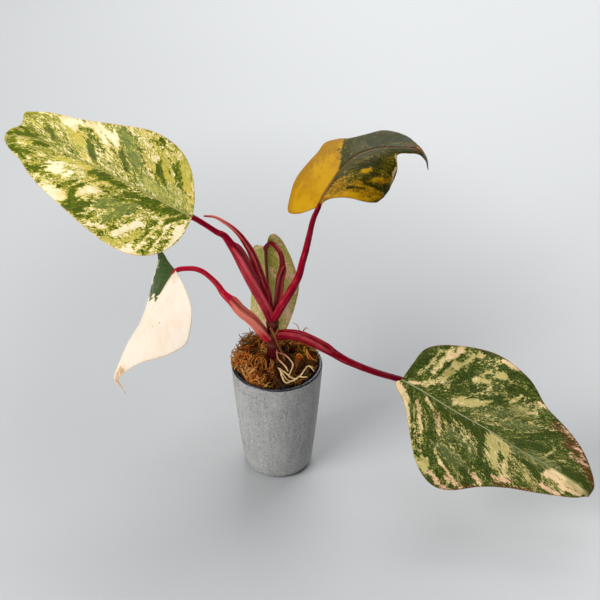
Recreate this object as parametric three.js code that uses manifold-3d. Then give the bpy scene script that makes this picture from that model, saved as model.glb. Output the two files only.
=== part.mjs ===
// A variegated philodendron in a small tapered stoneware pot.
// Millimetres, +Z up. The origin is the centre of the pot's flat base, and the plant is seen from -Y.
import * as THREE from "three";
import { mergeVertices } from "three/addons/utils/BufferGeometryUtils.js";
import Module from "manifold-3d";

const wasm = await Module();
wasm.setup();

// Driving dimensions
const CLEARANCE = 0.3; // left between two pieces that touch
const POT = {
  height: 110,
  rimRadius: 40, // outside, at the lip
  baseRadius: 30.5, // outside, where the wall's line would meet the table
  wall: 4,
  floor: 8,
  footRound: 7,
  belly: 0.8, // how far the wall bulges past a straight taper
  sides: 40,
};
const MOSS = {
  edge: 108,
  crown: 119,
  floor: 18,
  lump: 1.5,
  overfill: 1, // how far its edge runs into the wall before it is cut to fit
  sides: 36,
  rings: 8,
  seed: 11,
  strands: 24,
  strandSpread: 34, // how far from the middle they are strewn
  strandRadius: 1.1,
  strandSink: 1.5,
};
const STEM = {
  path: [[-3, 0, 84], [-3.5, 0, 118], [-3.5, 1, 138], [-3.5, 2, 150], [-3.5, 3, 160]],
  radius: 5.2,
  nodes: [0.62, 0.76, 0.9], // where the leaf scars ring it, along its length
  ringHeight: 0.09, // as a share of the radius
  ringSpread: 0.03,
  shoulder: { start: 0.94, length: 0.08 },
  steps: 24,
  sides: 12,
};
const BLADE = {
  thickness: 0.8,
  ribHeight: 2.2,
  ribWidth: 2.6,
  ribTaper: 0.75, // the share that the rib loses by the tip
  ribRise: 4, // length over which it rises out of the base
  rows: 22,
  columns: 6,
  rowPower: 2, // crowds the rows' starts towards the stalk
  columnPower: 1.6, // crowds the columns towards the rib
};

// A stalk's section: ears stand beside the groove of its sheath, at a turn in radians from its inner side
const STALK = {
  steps: 20,
  sides: 12,
  ears: { height: 0.42, turn: 0.6, spread: 0.28 },
  groove: { depth: 0.45, spread: 0.35 },
  sheathEndSpread: 0.04,
};

// Each leaf's midrib runs from the stalk to the tip, and its face is the direction of the upper side. Each half
// has its flat margin, as distances along and out from the midrib, and fold and curl: the degrees that it rises
// from flat at the rib, and bends further by its margin. Faces, folds and curls are given at even stations from
// the stalk to the tip. Left and right are as seen from above, with the tip pointing up.
const LEAVES = {
  upper_left: {
    midrib: [[-67, -12, 269], [-87, -5, 276], [-114, 5, 287], [-142, 17, 296], [-171, 32, 302],
      [-195, 48, 306],
      [-210, 58, 304], [-221, 65, 301], [-228, 71, 294], [-228, 75, 285]],
    face: [[-0.15, -0.65, 0.74], [-0.15, -0.65, 0.74], [-0.3, -0.6, 0.7]],
    left: {
      margin: [[0, 21], [9, 39], [26, 51], [48, 53], [74, 49], [100, 42], [126, 34], [150, 25],
        [172, 15], [188, 7]],
      fold: [12, 12, 12, 12],
      curl: [-10, -10, -10, -10],
    },
    right: {
      margin: [[5, 15], [17, 33], [37, 45], [60, 47], [86, 40], [112, 33], [137, 27], [158, 22],
        [170, 20], [172, 9], [187, 5]],
      fold: [12, 12, 12, 12],
      curl: [-10, -10, -10, -10],
    },
    wave: { height: 1.5, count: 2.5, phase: 0.4 },
    colour: 0x8c9448,
  },
  lower_left: {
    midrib: [[-82, -22, 223], [-90, -26, 212], [-98, -30, 199], [-108, -34, 183], [-119, -38, 163],
      [-130, -42, 143], [-137, -44, 128], [-134, -46, 122], [-128, -48, 113]],
    face: [[-0.3, -0.85, 0.4], [-0.3, -0.9, 0.3], [-0.3, -0.9, 0.3]],
    left: {
      margin: [[6, 14], [16, 27], [32, 36], [46, 40], [57, 37], [69, 29], [84, 16], [98, 8], [110, 4]],
      fold: [5, 5, 5, 5],
      curl: [-10, -10, -10, -10],
    },
    right: {
      margin: [[-1, 12], [-3, 22], [-1, 29], [9, 23], [23, 28], [37, 42], [60, 34], [84, 16], [106, 5]],
      fold: [-24, -43, -55, -64, -60, -60, -60],
      curl: [-10, -18, -28, -30, -30, -25, -20],
    },
    wave: { height: 1, count: 2, phase: 0 },
    colour: 0xfcecce,
  },
  upper_right: {
    midrib: [[35, 8, 266], [40, 17, 272], [46, 27, 277], [53, 38, 282], [62, 49, 286], [72, 58, 288],
      [87, 68, 287],
      [105, 76, 283], [121, 82, 278], [129, 85, 268], [132, 86, 255]],
    face: [[-0.1, -0.4, 0.9], [-0.1, -0.2, 0.95], [0.3, -0.1, 0.9]],
    left: {
      margin: [[-10, 11], [-12, 20], [-2, 28], [20, 31], [44, 28], [55, 30], [63, 25], [70, 20],
        [84, 19], [100, 22],
        [119, 13]],
      fold: [-5, 5, 5, 0],
      curl: [0, 0, 0, 0],
    },
    right: {
      margin: [[10, 5], [20, 19], [29, 36], [42, 43], [66, 44], [87, 35], [97, 23], [101, 8], [116, 6],
        [132, 5]],
      fold: [0, -5, -10, -10],
      curl: [-40, -60, -60, -40],
    },
    wave: { height: 1, count: 2, phase: 1 },
    colour: 0x8c7a20,
  },
  lower_right: {
    midrib: [[107, -38, 121], [124, -44, 114], [151, -56, 102], [180, -70, 92], [206, -84, 82],
      [229, -96, 75],
      [249, -108, 68], [258, -113, 63], [262, -115, 57]],
    face: [[-0.14, -0.71, 0.67], [-0.14, -0.71, 0.67], [0.2, -0.75, 0.6]],
    left: {
      margin: [[2, 17], [6, 33], [22, 47], [44, 57], [67, 60], [92, 55], [114, 44], [138, 36],
        [162, 25], [179, 11]],
      fold: [10, 10, 10, 10],
      curl: [-8, -8, -8, -8],
    },
    right: {
      margin: [[-3, 6], [12, 18], [30, 37], [49, 57], [67, 65], [87, 59], [106, 44], [124, 33],
        [150, 24], [176, 11]],
      fold: [10, 10, 10, 10],
      curl: [0, 0, -8, -8],
    },
    wave: { height: 1.5, count: 3, phase: 0 },
    colour: 0x656a38,
  },
  back: {
    midrib: [[-9, 52, 198], [-9, 60, 173], [-8, 64, 148], [-7, 66, 119], [-7, 66, 93], [-6, 64, 70]],
    face: [[0.46, 0.89, 0.2], [0.46, 0.89, 0], [0.46, 0.89, 0]],
    left: {
      margin: [[7, 7], [14, 15], [22, 21], [36, 26], [56, 29], [78, 31], [98, 32], [114, 28], [127, 13]],
      fold: [27, 27, 27, 27],
      curl: [0, 0, 0, 0],
    },
    right: {
      margin: [[-13, 2], [-17, 7], [-9, 13], [5, 18], [25, 24], [50, 27], [74, 24], [98, 18], [118, 10]],
      fold: [27, 27, 27, 27],
      curl: [0, 0, 0, 0],
    },
    wave: { height: 1, count: 2, phase: 0 },
    colour: 0x8a8448,
  },
};

// Each leaf's stalk, from the stem to its blade. The radius is given at even stations, the winged sheath ends
// at a share of the length, and inner is the direction of its grooved side at the stem.
const PETIOLES = {
  upper_left: {
    path: [[-9, 2, 157], [-10.5, 1, 170], [-17.5, -1, 190], [-25, -4, 211], [-31, -6, 228], [-37, -8, 240],
      [-42, -8, 248], [-48, -10, 253], [-56, -11, 260]],
    radius: [4, 4.5, 4.8, 4.9, 4.8, 3.2, 2.3, 2.3],
    sheath: { end: 0.66, wing: 1 },
    inner: [0.9, 0.1, 0.4],
    colour: 0x8a2a38,
  },
  lower_left: {
    path: [[-8, -1, 137], [-13, -4, 147], [-21, -7, 161], [-31, -9, 173], [-37, -10, 183], [-44, -11, 192],
      [-49, -12, 202], [-56, -15, 213], [-63, -17, 220], [-71, -19, 223]],
    radius: [4, 4.7, 4.9, 4.3, 2.9, 2.3, 2.2, 2],
    sheath: { end: 0.48, wing: 1 },
    inner: [0.8, 0, 0.6],
    colour: 0x9a2c3a,
  },
  upper_right: {
    path: [[-2, 0, 158], [6, 0, 174], [13, 1, 187], [19, 3, 200], [22, 5, 212], [25, 6, 224], [28, 8, 238],
      [31, 8, 253]],
    radius: [3.8, 3.6, 3.3, 3, 2.8, 2.4, 2.1],
    sheath: { end: 0.3, wing: 0.5 },
    inner: [-0.8, 0.2, 0.5],
    colour: 0x7c1420,
  },
  lower_right: {
    path: [[-1, -1, 140], [9, -5, 144], [20, -10, 146], [31, -15, 144], [46, -20, 138], [61, -25, 131],
      [84, -31, 124]],
    radius: [4, 4.2, 4.2, 3.6, 3, 2.8, 2.6],
    sheath: { end: 0.42, wing: 0.9 },
    inner: [0, 0.1, 1],
    colour: 0x6a1824,
  },
  back: {
    path: [[-2, 5, 157], [0, 9, 164], [2, 14, 176], [3, 20, 186], [5, 26, 194], [4, 32, 202], [0, 39, 205],
      [-5, 46, 205]],
    radius: [3.2, 3.8, 3.8, 3, 2.1, 2, 2],
    sheath: { end: 0.5, wing: 0.9 },
    inner: [0, -0.9, 0.4],
    colour: 0x8a2030,
  },
};

const NEW_LEAF = {
  path: [[-5, 6, 157], [-8, 5.5, 181], [-12, 4.5, 195], [-16, 3, 210], [-20, 1, 225], [-25, 0, 236],
    [-30, -1, 245],
    [-36, -1, 252], [-43, 0, 257], [-50, 2, 260], [-59, 5, 259]],
  radius: [2.8, 3.6, 4, 4.2, 4, 3.4, 2.6, 1.9, 1.4, 0.7],
  lap: { start: 0.88, step: 0.2 }, // the outer edge of the roll laps over by this share of its radius
  inner: [0.5, -0.9, 0],
  steps: 22,
  sides: 12,
  colour: 0xb04840,
};
const DRIED_SHEATH = {
  arms: [
    [[-5.2, -4.4, 151.2], [-3.1, -5, 147.1], [-1.4, -5.8, 142.8], [0.7, -6.8, 136.5], [2.9, -8, 130.9],
      [5.5, -9, 126.1], [7, -10, 121]],
    [[2.1, -4.4, 150.2], [0, -5, 146.5], [-1.4, -5.8, 142.8], [-0.2, -6.4, 138.5]],
  ],
  width: 1.3,
  thickness: 0.5,
  taper: 0.5,
  inner: [0.2, -1, 0.1],
  steps: 8,
  sides: 8,
  colour: 0xb8905c,
};
const ROOTS = {
  strands: [
    [[-1, -3, 127], [1, -3, 122], [7, -1, 118], [13, -7, 115], [14, -12, 114], [12, -19, 113],
    [10, -25, 112]],
    [[0, -4, 124], [1, -6, 118], [4, -9, 116], [8, -14, 114.5], [10, -19, 113.5]],
    [[3, -17, 115], [5, -25, 112], [8, -30, 110], [13, -28, 110], [16, -26, 110.5], [21, -21, 111],
    [25, -13, 112],
      [28, -9, 112], [33, -11, 111]],
    [[2, -17, 115], [7, -20, 113.5], [14, -25, 111], [18, -24.5, 110.5]],
    [[19, -22.5, 111], [23, -23, 110.5], [27, -22, 110]],
  ],
  radius: 0.85,
  taper: 0.3,
  inner: [0.3, 0.2, 1],
  steps: 6,
  sides: 4,
  colour: 0xdcc59a,
};

// A smooth curve through evenly spaced values, at t from 0 to 1
function spline(values, t) {
  const last = values.length - 1;
  const s = THREE.MathUtils.clamp(t, 0, 1) * last;
  const i = Math.min(Math.floor(s), last - 1);
  const f = s - i;
  const [p1, p2] = [values[i], values[i + 1]];
  const p0 = values[i - 1] ?? 2 * p1 - p2;
  const p3 = values[i + 2] ?? 2 * p2 - p1;
  return p1 + 0.5 * f * (p2 - p0 + f * (2 * p0 - 5 * p1 + 4 * p2 - p3 + f * (3 * (p1 - p2) + p3 - p0)));
}

function splineVector(rows, t) {
  return new THREE.Vector3(...[0, 1, 2].map((axis) => spline(rows.map((row) => row[axis]), t)));
}

// A hump of height 1 at x = 0
function hump(x, spread) {
  return Math.exp(-((x / spread) ** 2));
}

function curveThrough(points) {
  return new THREE.CatmullRomCurve3(points.map((p) => new THREE.Vector3(...p)), false, "catmullrom", 0.5);
}

// The same numbers each time for one seed
function seededRandom(seed) {
  let state = seed;
  return () => {
    state = (Math.imul(state, 1664525) + 1013904223) >>> 0;
    return state / 2 ** 32;
  };
}

function geometryFrom(positions, index) {
  const geometry = new THREE.BufferGeometry();
  geometry.setAttribute("position", new THREE.Float32BufferAttribute(positions, 3));
  geometry.setIndex(index);
  return geometry;
}

// A closed geometry as a manifold-3d solid
function solidOf(geometry) {
  const bare = geometry.clone();
  bare.deleteAttribute("normal");
  bare.deleteAttribute("uv");
  const merged = mergeVertices(bare, 1e-4);
  const corners = [];
  for (let i = 0; i < merged.index.count; i += 3) {
    const [a, b, c] = [0, 1, 2].map((k) => merged.index.getX(i + k));
    if (a !== b && b !== c && c !== a) corners.push(a, b, c);
  }
  return new wasm.Manifold(new wasm.Mesh({
    numProp: 3,
    vertProperties: new Float32Array(merged.attributes.position.array),
    triVerts: new Uint32Array(corners),
  }));
}

function largestBody(solid) {
  return solid.decompose().reduce((a, b) => (b.volume() > a.volume() ? b : a)).simplify(0.01);
}

// A closed tube along a curve. section(t, angle) is the distance from the curve, and angle 0 faces inner(t).
function sweep(curve, { steps, sides, inner, section }, grow) {
  const positions = [];
  const index = [];
  for (let i = 0; i <= steps; i++) {
    const t = i / steps;
    const centre = curve.getPointAt(t);
    const along = curve.getTangentAt(t);
    if (i === 0) centre.addScaledVector(along, -grow);
    if (i === steps) centre.addScaledVector(along, grow);
    const up = inner(t);
    up.addScaledVector(along, -up.dot(along)).normalize();
    const side = new THREE.Vector3().crossVectors(along, up);
    for (let j = 0; j < sides; j++) {
      const angle = (2 * Math.PI * j) / sides;
      const reach = section(t, angle) + grow;
      const point = centre.clone()
        .addScaledVector(up, reach * Math.cos(angle))
        .addScaledVector(side, reach * Math.sin(angle));
      positions.push(point.x, point.y, point.z);
    }
  }
  const ring = (i, j) => i * sides + (j % sides);
  for (let i = 0; i < steps; i++) {
    for (let j = 0; j < sides; j++) {
      index.push(ring(i, j), ring(i, j + 1), ring(i + 1, j + 1));
      index.push(ring(i, j), ring(i + 1, j + 1), ring(i + 1, j));
    }
  }
  for (let j = 1; j < sides - 1; j++) {
    index.push(ring(0, 0), ring(0, j + 1), ring(0, j), ring(steps, 0), ring(steps, j), ring(steps, j + 1));
  }
  return geometryFrom(positions, index);
}

function halfWidth(half) {
  return Math.max(...half.margin.map(([, out]) => out));
}

// Where a point of the flat blade lies in space: a is measured along the midrib, b across it
function bladeMap(leaf) {
  const rib = curveThrough(leaf.midrib);
  const length = rib.getLength();
  const place = (a, b) => {
    const t = THREE.MathUtils.clamp(a / length, 0, 1);
    const along = rib.getTangentAt(t);
    const point = rib.getPointAt(t).addScaledVector(along, a - t * length);
    const face = splineVector(leaf.face, t);
    face.addScaledVector(along, -face.dot(along)).normalize();
    const side = new THREE.Vector3().crossVectors(along, face);
    const half = b < 0 ? leaf.left : leaf.right;
    const fold = THREE.MathUtils.degToRad(spline(half.fold, t));
    const width = halfWidth(half);
    const bend = THREE.MathUtils.degToRad(spline(half.curl, t)) / width;
    const reach = Math.abs(b);
    const middle = fold + (bend * reach) / 2;
    const chord = bend * reach === 0 ? reach : (2 * Math.sin((bend * reach) / 2)) / bend;
    const { height, count, phase } = leaf.wave;
    const edge = (b / width) ** 2;
    const wave = height * edge * Math.sin(2 * Math.PI * count * t + phase + (b < 0 ? 0 : 2));
    return point
      .addScaledVector(side, Math.sign(b) * chord * Math.cos(middle))
      .addScaledVector(face, chord * Math.sin(middle) + wave);
  };
  return { place, length };
}

// A leaf blade: two like-triangulated faces, with the midrib raised on the lower one
function blade(leaf, grow) {
  const { place, length } = bladeMap(leaf);
  const { rows, columns, rowPower, columnPower, thickness, ribHeight, ribWidth, ribTaper, ribRise } = BLADE;
  const positions = [];
  const index = [];
  const probe = 0.2; // the step that gives the surface's slopes
  const spot = (row, column) => {
    const u = row / rows;
    const v = Math.sign(column) * Math.abs(column / columns) ** columnPower;
    const margin = [[0, 0], ...(column < 0 ? leaf.left : leaf.right).margin, [length, 0]];
    const start = length * u ** rowPower;
    const end = spline(margin.map(([along]) => along), u);
    const reach = spline(margin.map(([, out]) => out), u);
    return { start, a: start + (end - start) * Math.abs(v), b: v * reach };
  };
  for (let row = 0; row <= rows; row++) {
    for (let column = -columns; column <= columns; column++) {
      const tipped = row === 0 || row === rows;
      const { start, a, b } = spot(row, tipped ? 0 : column);
      const point = place(a, b);
      const across = place(a, b + probe).sub(place(a, b - probe));
      const along = place(a + probe, b).sub(place(a - probe, b));
      if (tipped) point.addScaledVector(along.clone().normalize(), row === 0 ? -grow : grow);
      else if (Math.abs(column) === columns) {
        point.addScaledVector(point.clone().sub(place(start, 0)).normalize(), grow);
      }
      const normal = across.cross(along).normalize();
      const taper = 1 - ribTaper * Math.max(a, 0) / length;
      const rise = tipped ? 0 : THREE.MathUtils.smoothstep(a, -1, ribRise);
      const rib = ribHeight * taper * rise * hump(b, ribWidth * taper);
      const top = point.clone().addScaledVector(normal, thickness / 2 + grow);
      const bottom = point.clone().addScaledVector(normal, -thickness / 2 - rib - grow);
      positions.push(top.x, top.y, top.z, bottom.x, bottom.y, bottom.z);
    }
  }
  const width = 2 * columns + 1;
  const corner = (row, column, face) => {
    const spread = row === 0 || row === rows ? 0 : column + columns;
    return 2 * (row * width + spread) + face;
  };
  const triangle = (a, b, c) => {
    if (a !== b && b !== c && c !== a) index.push(a, b, c);
  };
  for (let row = 0; row < rows; row++) {
    for (let column = -columns; column < columns; column++) {
      const quad = (face) => [
        corner(row, column, face), corner(row, column + 1, face),
        corner(row + 1, column + 1, face), corner(row + 1, column, face),
      ];
      const [a, b, c, d] = quad(0);
      triangle(a, b, c);
      triangle(a, c, d);
      const [e, f, g, h] = quad(1);
      triangle(e, g, f);
      triangle(e, h, g);
    }
    for (const margin of [-columns, columns]) {
      const wall = [corner(row, margin, 0), corner(row + 1, margin, 0), corner(row + 1, margin, 1),
        corner(row, margin, 1)];
      if (margin > 0) wall.reverse();
      triangle(wall[0], wall[1], wall[2]);
      triangle(wall[0], wall[2], wall[3]);
    }
  }
  return geometryFrom(positions, index);
}

// A leaf stalk: grooved between two wings along its sheath, round above it, and ending under the blade's base
function petiole(stalk, leaf, grow) {
  const face = new THREE.Vector3(...leaf.face[0]).normalize();
  const end = new THREE.Vector3(...leaf.midrib[0]).addScaledVector(face, -stalk.radius.at(-1) * 0.9);
  const { end: sheathEnd, wing } = stalk.sheath;
  const section = (t, angle) => {
    const turn = Math.PI - Math.abs(Math.PI - angle);
    const open = t < sheathEnd ? 0.75 + 0.4 * (t / sheathEnd) ** 4 : hump(t - sheathEnd, STALK.sheathEndSpread);
    const ears = STALK.ears.height * hump(turn - STALK.ears.turn, STALK.ears.spread);
    const groove = STALK.groove.depth * hump(turn, STALK.groove.spread);
    return spline(stalk.radius, t) * (1 + wing * open * (ears - groove));
  };
  const inner = (t) => splineVector([stalk.inner, leaf.face[0]], t);
  return sweep(curveThrough([...stalk.path, end.toArray()]), { ...STALK, inner, section }, grow);
}

// The rolled young leaf: its outer edge laps over the roll and leaves a step down its length
function newLeaf(grow) {
  const { path, radius, lap } = NEW_LEAF;
  const section = (t, angle) => spline(radius, t) * (lap.start + (lap.step * angle) / (2 * Math.PI));
  const inner = () => new THREE.Vector3(...NEW_LEAF.inner);
  return sweep(curveThrough(path), { ...NEW_LEAF, inner, section }, grow);
}

function stem(grow) {
  const { path, radius, nodes, ringHeight, ringSpread, shoulder } = STEM;
  const section = (t) => {
    const rings = nodes.reduce((sum, node) => sum + hump(t - node, ringSpread), 0);
    const past = Math.max(t - shoulder.start, 0) / shoulder.length;
    return radius * (1 + ringHeight * rings) * Math.sqrt(Math.max(1 - past ** 2, 0.1));
  };
  const inner = () => new THREE.Vector3(0, -1, 0);
  return sweep(curveThrough(path), { ...STEM, inner, section }, grow);
}

// Tubes of one shape along several paths, fused where they meet
function fusedTubes(paths, shape, grow) {
  return paths
    .map((path) => solidOf(sweep(curveThrough(path), shape, grow)))
    .reduce((sum, tube) => sum.add(tube));
}

function surfaceRoots(grow) {
  const section = (t) => ROOTS.radius * (1 - ROOTS.taper * t);
  const inner = () => new THREE.Vector3(...ROOTS.inner);
  return fusedTubes(ROOTS.strands, { ...ROOTS, inner, section }, grow);
}

// A papery strip that is split at its top: each arm has an oval section that narrows to its end
function driedSheath(grow) {
  const { arms, width, thickness, taper } = DRIED_SHEATH;
  const section = (t, angle) => {
    const reach = width * (1 - taper * t);
    return 1 / Math.hypot(Math.cos(angle) / thickness, Math.sin(angle) / reach);
  };
  const inner = () => new THREE.Vector3(...DRIED_SHEATH.inner);
  return fusedTubes(arms, { ...DRIED_SHEATH, inner, section }, grow);
}

// The top of the moss: a low mound with lumps on it
function mossHeight(x, y) {
  const r = Math.hypot(x, y) / POT.rimRadius;
  const lumps = Math.sin(x / 2.9 + 0.7 * Math.sin(y / 4)) + Math.sin(y / 2.6 + x / 7) + Math.sin((x + y) / 5.3);
  return MOSS.edge + (MOSS.crown - MOSS.edge) * (1 - r * r) + MOSS.lump * lumps;
}

// A disc of moss with straight sides, down to the pot's floor
function mossBed() {
  const { rings, sides, floor, overfill } = MOSS;
  const radius = POT.rimRadius - POT.wall + overfill;
  const positions = [0, 0, mossHeight(0, 0)];
  const index = [];
  for (let ring = 1; ring <= rings + 1; ring++) {
    for (let side = 0; side < sides; side++) {
      const angle = (2 * Math.PI * side) / sides;
      const r = radius * Math.min(ring / rings, 1);
      const [x, y] = [r * Math.cos(angle), r * Math.sin(angle)];
      positions.push(x, y, ring > rings ? floor : mossHeight(x, y));
    }
  }
  positions.push(0, 0, floor);
  const at = (ring, side) => (ring === 0 ? 0 : 1 + (ring - 1) * sides + (side % sides));
  const under = 1 + (rings + 1) * sides;
  for (let side = 0; side < sides; side++) {
    index.push(0, at(1, side), at(1, side + 1));
    for (let ring = 1; ring <= rings; ring++) {
      index.push(at(ring, side), at(ring + 1, side), at(ring + 1, side + 1));
      index.push(at(ring, side), at(ring + 1, side + 1), at(ring, side + 1));
    }
    index.push(under, at(rings + 1, side + 1), at(rings + 1, side));
  }
  return solidOf(geometryFrom(positions, index));
}

// Curls of moss strewn over the bed, with both ends sunk in it
function mossStrands() {
  const random = seededRandom(MOSS.seed);
  const paths = [];
  for (let i = 0; i < MOSS.strands; i++) {
    const angle = 2 * Math.PI * random();
    const r = MOSS.strandSpread * Math.sqrt(random());
    const turn = 2 * Math.PI * random();
    const reach = 5 + 5 * random();
    const lift = 1.5 + 2.5 * random();
    const spots = [-1, -0.35, 0.35, 1].map((s) => {
      const bow = turn + 0.6 * s;
      return [r * Math.cos(angle) + s * reach * Math.cos(bow), r * Math.sin(angle) + s * reach * Math.sin(bow)];
    });
    if (spots.some(([x, y]) => Math.hypot(x, y) > MOSS.strandSpread)) continue;
    const lifts = [-MOSS.strandSink, lift, lift, -MOSS.strandSink];
    paths.push(spots.map(([x, y], k) => [x, y, mossHeight(x, y) + lifts[k]]));
  }
  const inner = () => new THREE.Vector3(0.3, 0.2, 1);
  const section = (t) => MOSS.strandRadius * (1 - 0.45 * t);
  return fusedTubes(paths, { steps: 4, sides: 4, inner, section }, 0);
}

// The pot is turned about its axis: base, rounded foot, slightly bellied wall, round lip, inside wall and floor
function pot(grow) {
  const { height, rimRadius, baseRadius, wall, floor, footRound, belly, sides } = POT;
  const lip = wall / 2;
  const slope = (rimRadius - baseRadius) / height;
  const profile = new THREE.Path();
  profile.moveTo(0, -grow);
  profile.lineTo(baseRadius - footRound + grow, -grow);
  profile.quadraticCurveTo(baseRadius + grow, -grow, baseRadius + slope * footRound + grow, footRound);
  profile.quadraticCurveTo(
    (baseRadius + rimRadius) / 2 + 2 * belly + grow, height / 2, rimRadius + grow, height - lip);
  profile.absarc(rimRadius - lip, height - lip, lip + grow, 0, Math.PI, false);
  profile.lineTo(baseRadius - wall - grow + slope * floor, floor + footRound);
  profile.lineTo(baseRadius - wall - grow - footRound / 2, floor + grow);
  profile.lineTo(0, floor + grow);
  const geometry = new THREE.LatheGeometry(profile.getPoints(4), sides);
  return geometry.rotateX(Math.PI / 2);
}

const leafPieces = Object.entries(LEAVES).map(([name, leaf]) => ({
  name: `leaf_${name}`,
  colour: leaf.colour,
  roughness: 0.4,
  build: (grow) => solidOf(blade(leaf, grow)),
}));
const petiolePieces = Object.entries(PETIOLES).map(([name, stalk]) => ({
  name: `petiole_${name}`,
  colour: stalk.colour,
  roughness: 0.35,
  build: (grow) => solidOf(petiole(stalk, LEAVES[name], grow)),
}));

// Where two pieces meet, the later one of this list is cut back from the earlier one
const pieces = [
  { name: "pot", colour: 0x8c8b8a, roughness: 0.85, build: (grow) => solidOf(pot(grow)) },
  ...leafPieces,
  { name: "new_leaf", colour: NEW_LEAF.colour, roughness: 0.3, build: (grow) => solidOf(newLeaf(grow)) },
  ...petiolePieces,
  { name: "stem", colour: 0x5a3a24, roughness: 0.7, build: (grow) => solidOf(stem(grow)) },
  { name: "surface_roots", colour: ROOTS.colour, roughness: 0.8, build: surfaceRoots },
  { name: "dried_sheath", colour: DRIED_SHEATH.colour, roughness: 0.9, build: driedSheath },
  { name: "moss", colour: 0x7a4a1c, roughness: 1, build: () => mossBed().add(mossStrands()) },
];

function meshOf({ name, colour, roughness }, solid) {
  const { vertProperties, triVerts } = solid.getMesh();
  const geometry = geometryFrom(Array.from(vertProperties), Array.from(triVerts));
  geometry.computeVertexNormals();
  const material = new THREE.MeshStandardMaterial({ color: colour, roughness, metalness: 0 });
  const mesh = new THREE.Mesh(geometry, material);
  mesh.name = name;
  return mesh;
}

function boxesMeet(a, b) {
  const [p, q] = [a.boundingBox(), b.boundingBox()];
  return [0, 1, 2].every((axis) => p.min[axis] < q.max[axis] && q.min[axis] < p.max[axis]);
}

const plant = new THREE.Group();
plant.name = "potted_philodendron";
const neighbours = [];
for (const piece of pieces) {
  let solid = piece.build(0);
  for (const neighbour of neighbours) {
    if (boxesMeet(solid, neighbour)) solid = solid.subtract(neighbour);
  }
  plant.add(meshOf(piece, largestBody(solid)));
  neighbours.push(piece.build(CLEARANCE));
}

export default plant;
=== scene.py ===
"""A potted strawberry shake philodendron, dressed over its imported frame.

The sizes below repeat the part's own, in millimetres. Each sub-assembly builds finer meshes on the same
curves and carries procedural finishes: variegated blades, red stalks, stringy moss, pale roots and a
stoneware pot.
"""

import logging
import math
from collections.abc import Iterator
from dataclasses import dataclass, field
from enum import Enum

import bpy
import numpy as np
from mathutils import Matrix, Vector


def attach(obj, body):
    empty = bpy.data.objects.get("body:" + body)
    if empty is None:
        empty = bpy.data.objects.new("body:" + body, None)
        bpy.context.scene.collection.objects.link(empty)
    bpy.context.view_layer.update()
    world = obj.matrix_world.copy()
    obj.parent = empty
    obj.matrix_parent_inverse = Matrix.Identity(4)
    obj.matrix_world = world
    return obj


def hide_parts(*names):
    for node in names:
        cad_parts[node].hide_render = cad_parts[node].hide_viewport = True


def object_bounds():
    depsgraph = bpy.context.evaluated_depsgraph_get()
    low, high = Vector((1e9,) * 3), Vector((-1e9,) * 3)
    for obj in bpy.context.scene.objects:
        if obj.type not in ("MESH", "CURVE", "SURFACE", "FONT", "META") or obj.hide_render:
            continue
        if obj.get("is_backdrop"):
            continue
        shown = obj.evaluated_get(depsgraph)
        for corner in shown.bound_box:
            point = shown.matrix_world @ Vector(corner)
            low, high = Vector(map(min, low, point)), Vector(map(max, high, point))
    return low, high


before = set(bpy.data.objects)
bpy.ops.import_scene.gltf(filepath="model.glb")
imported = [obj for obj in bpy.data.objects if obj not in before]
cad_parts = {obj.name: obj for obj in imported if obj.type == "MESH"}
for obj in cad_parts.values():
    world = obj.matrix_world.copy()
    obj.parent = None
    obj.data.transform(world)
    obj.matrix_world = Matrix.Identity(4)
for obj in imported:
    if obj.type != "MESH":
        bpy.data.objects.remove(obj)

CAD_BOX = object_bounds()
LOG = logging.getLogger("philodendron")
MM = 0.001
FULL_TURN = 2 * math.pi
GRAIN_TABLE = 64

Point = tuple[float, float, float]
Colour = tuple[float, float, float]
Stops = tuple[tuple[float, Colour], ...]


def linear(*channels: int) -> Colour:
    """Turns a display colour into a linear one.

    Args:
        channels: red, green and blue as 0 to 255.

    Returns:
        The linear colour as 0 to 1.
    """
    shares = [channel / 255 for channel in channels]
    return tuple(s / 12.92 if s <= 0.04045 else ((s + 0.055) / 1.055) ** 2.4 for s in shares)


def make_linear(finish: object) -> None:
    """Turns the display colours among a finish's fields into linear ones.

    Args:
        finish: a palette or finish whose only tuples are colours.
    """
    for name, value in vars(finish).items():
        if isinstance(value, tuple):
            object.__setattr__(finish, name, linear(*value))


def spline(values: list[float], t: np.ndarray) -> np.ndarray:
    """A smooth curve through evenly spaced values.

    Args:
        values: the values that it passes through.
        t: where to read it, from 0 to 1.

    Returns:
        The value at each t.
    """
    v = np.asarray(values, float)
    last = len(v) - 1
    s = np.clip(t, 0, 1) * last
    i = np.minimum(np.floor(s).astype(int), last - 1)
    f = s - i
    p1, p2 = v[i], v[i + 1]
    p0 = np.where(i > 0, v[np.maximum(i - 1, 0)], 2 * p1 - p2)
    p3 = np.where(i + 2 <= last, v[np.minimum(i + 2, last)], 2 * p2 - p1)
    return p1 + 0.5 * f * (p2 - p0 + f * (2 * p0 - 5 * p1 + 4 * p2 - p3 + f * (3 * (p1 - p2) + p3 - p0)))


def spline3(points: list[Point], t: np.ndarray) -> np.ndarray:
    """A smooth curve through points, at even parameter steps.

    Args:
        points: the points that it passes through.
        t: where to read it, from 0 to 1.

    Returns:
        One row of x, y, z for each t.
    """
    rows = np.asarray(points, float)
    return np.stack([spline(rows[:, axis], t) for axis in range(3)], -1)


def unit(v: np.ndarray) -> np.ndarray:
    """Each vector at length 1."""
    return v / np.maximum(np.linalg.norm(v, axis=-1, keepdims=True), 1e-12)


def hump(x: np.ndarray, spread: float) -> np.ndarray:
    """A hump of height 1 at x = 0."""
    return np.exp(-((x / spread) ** 2))


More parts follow.
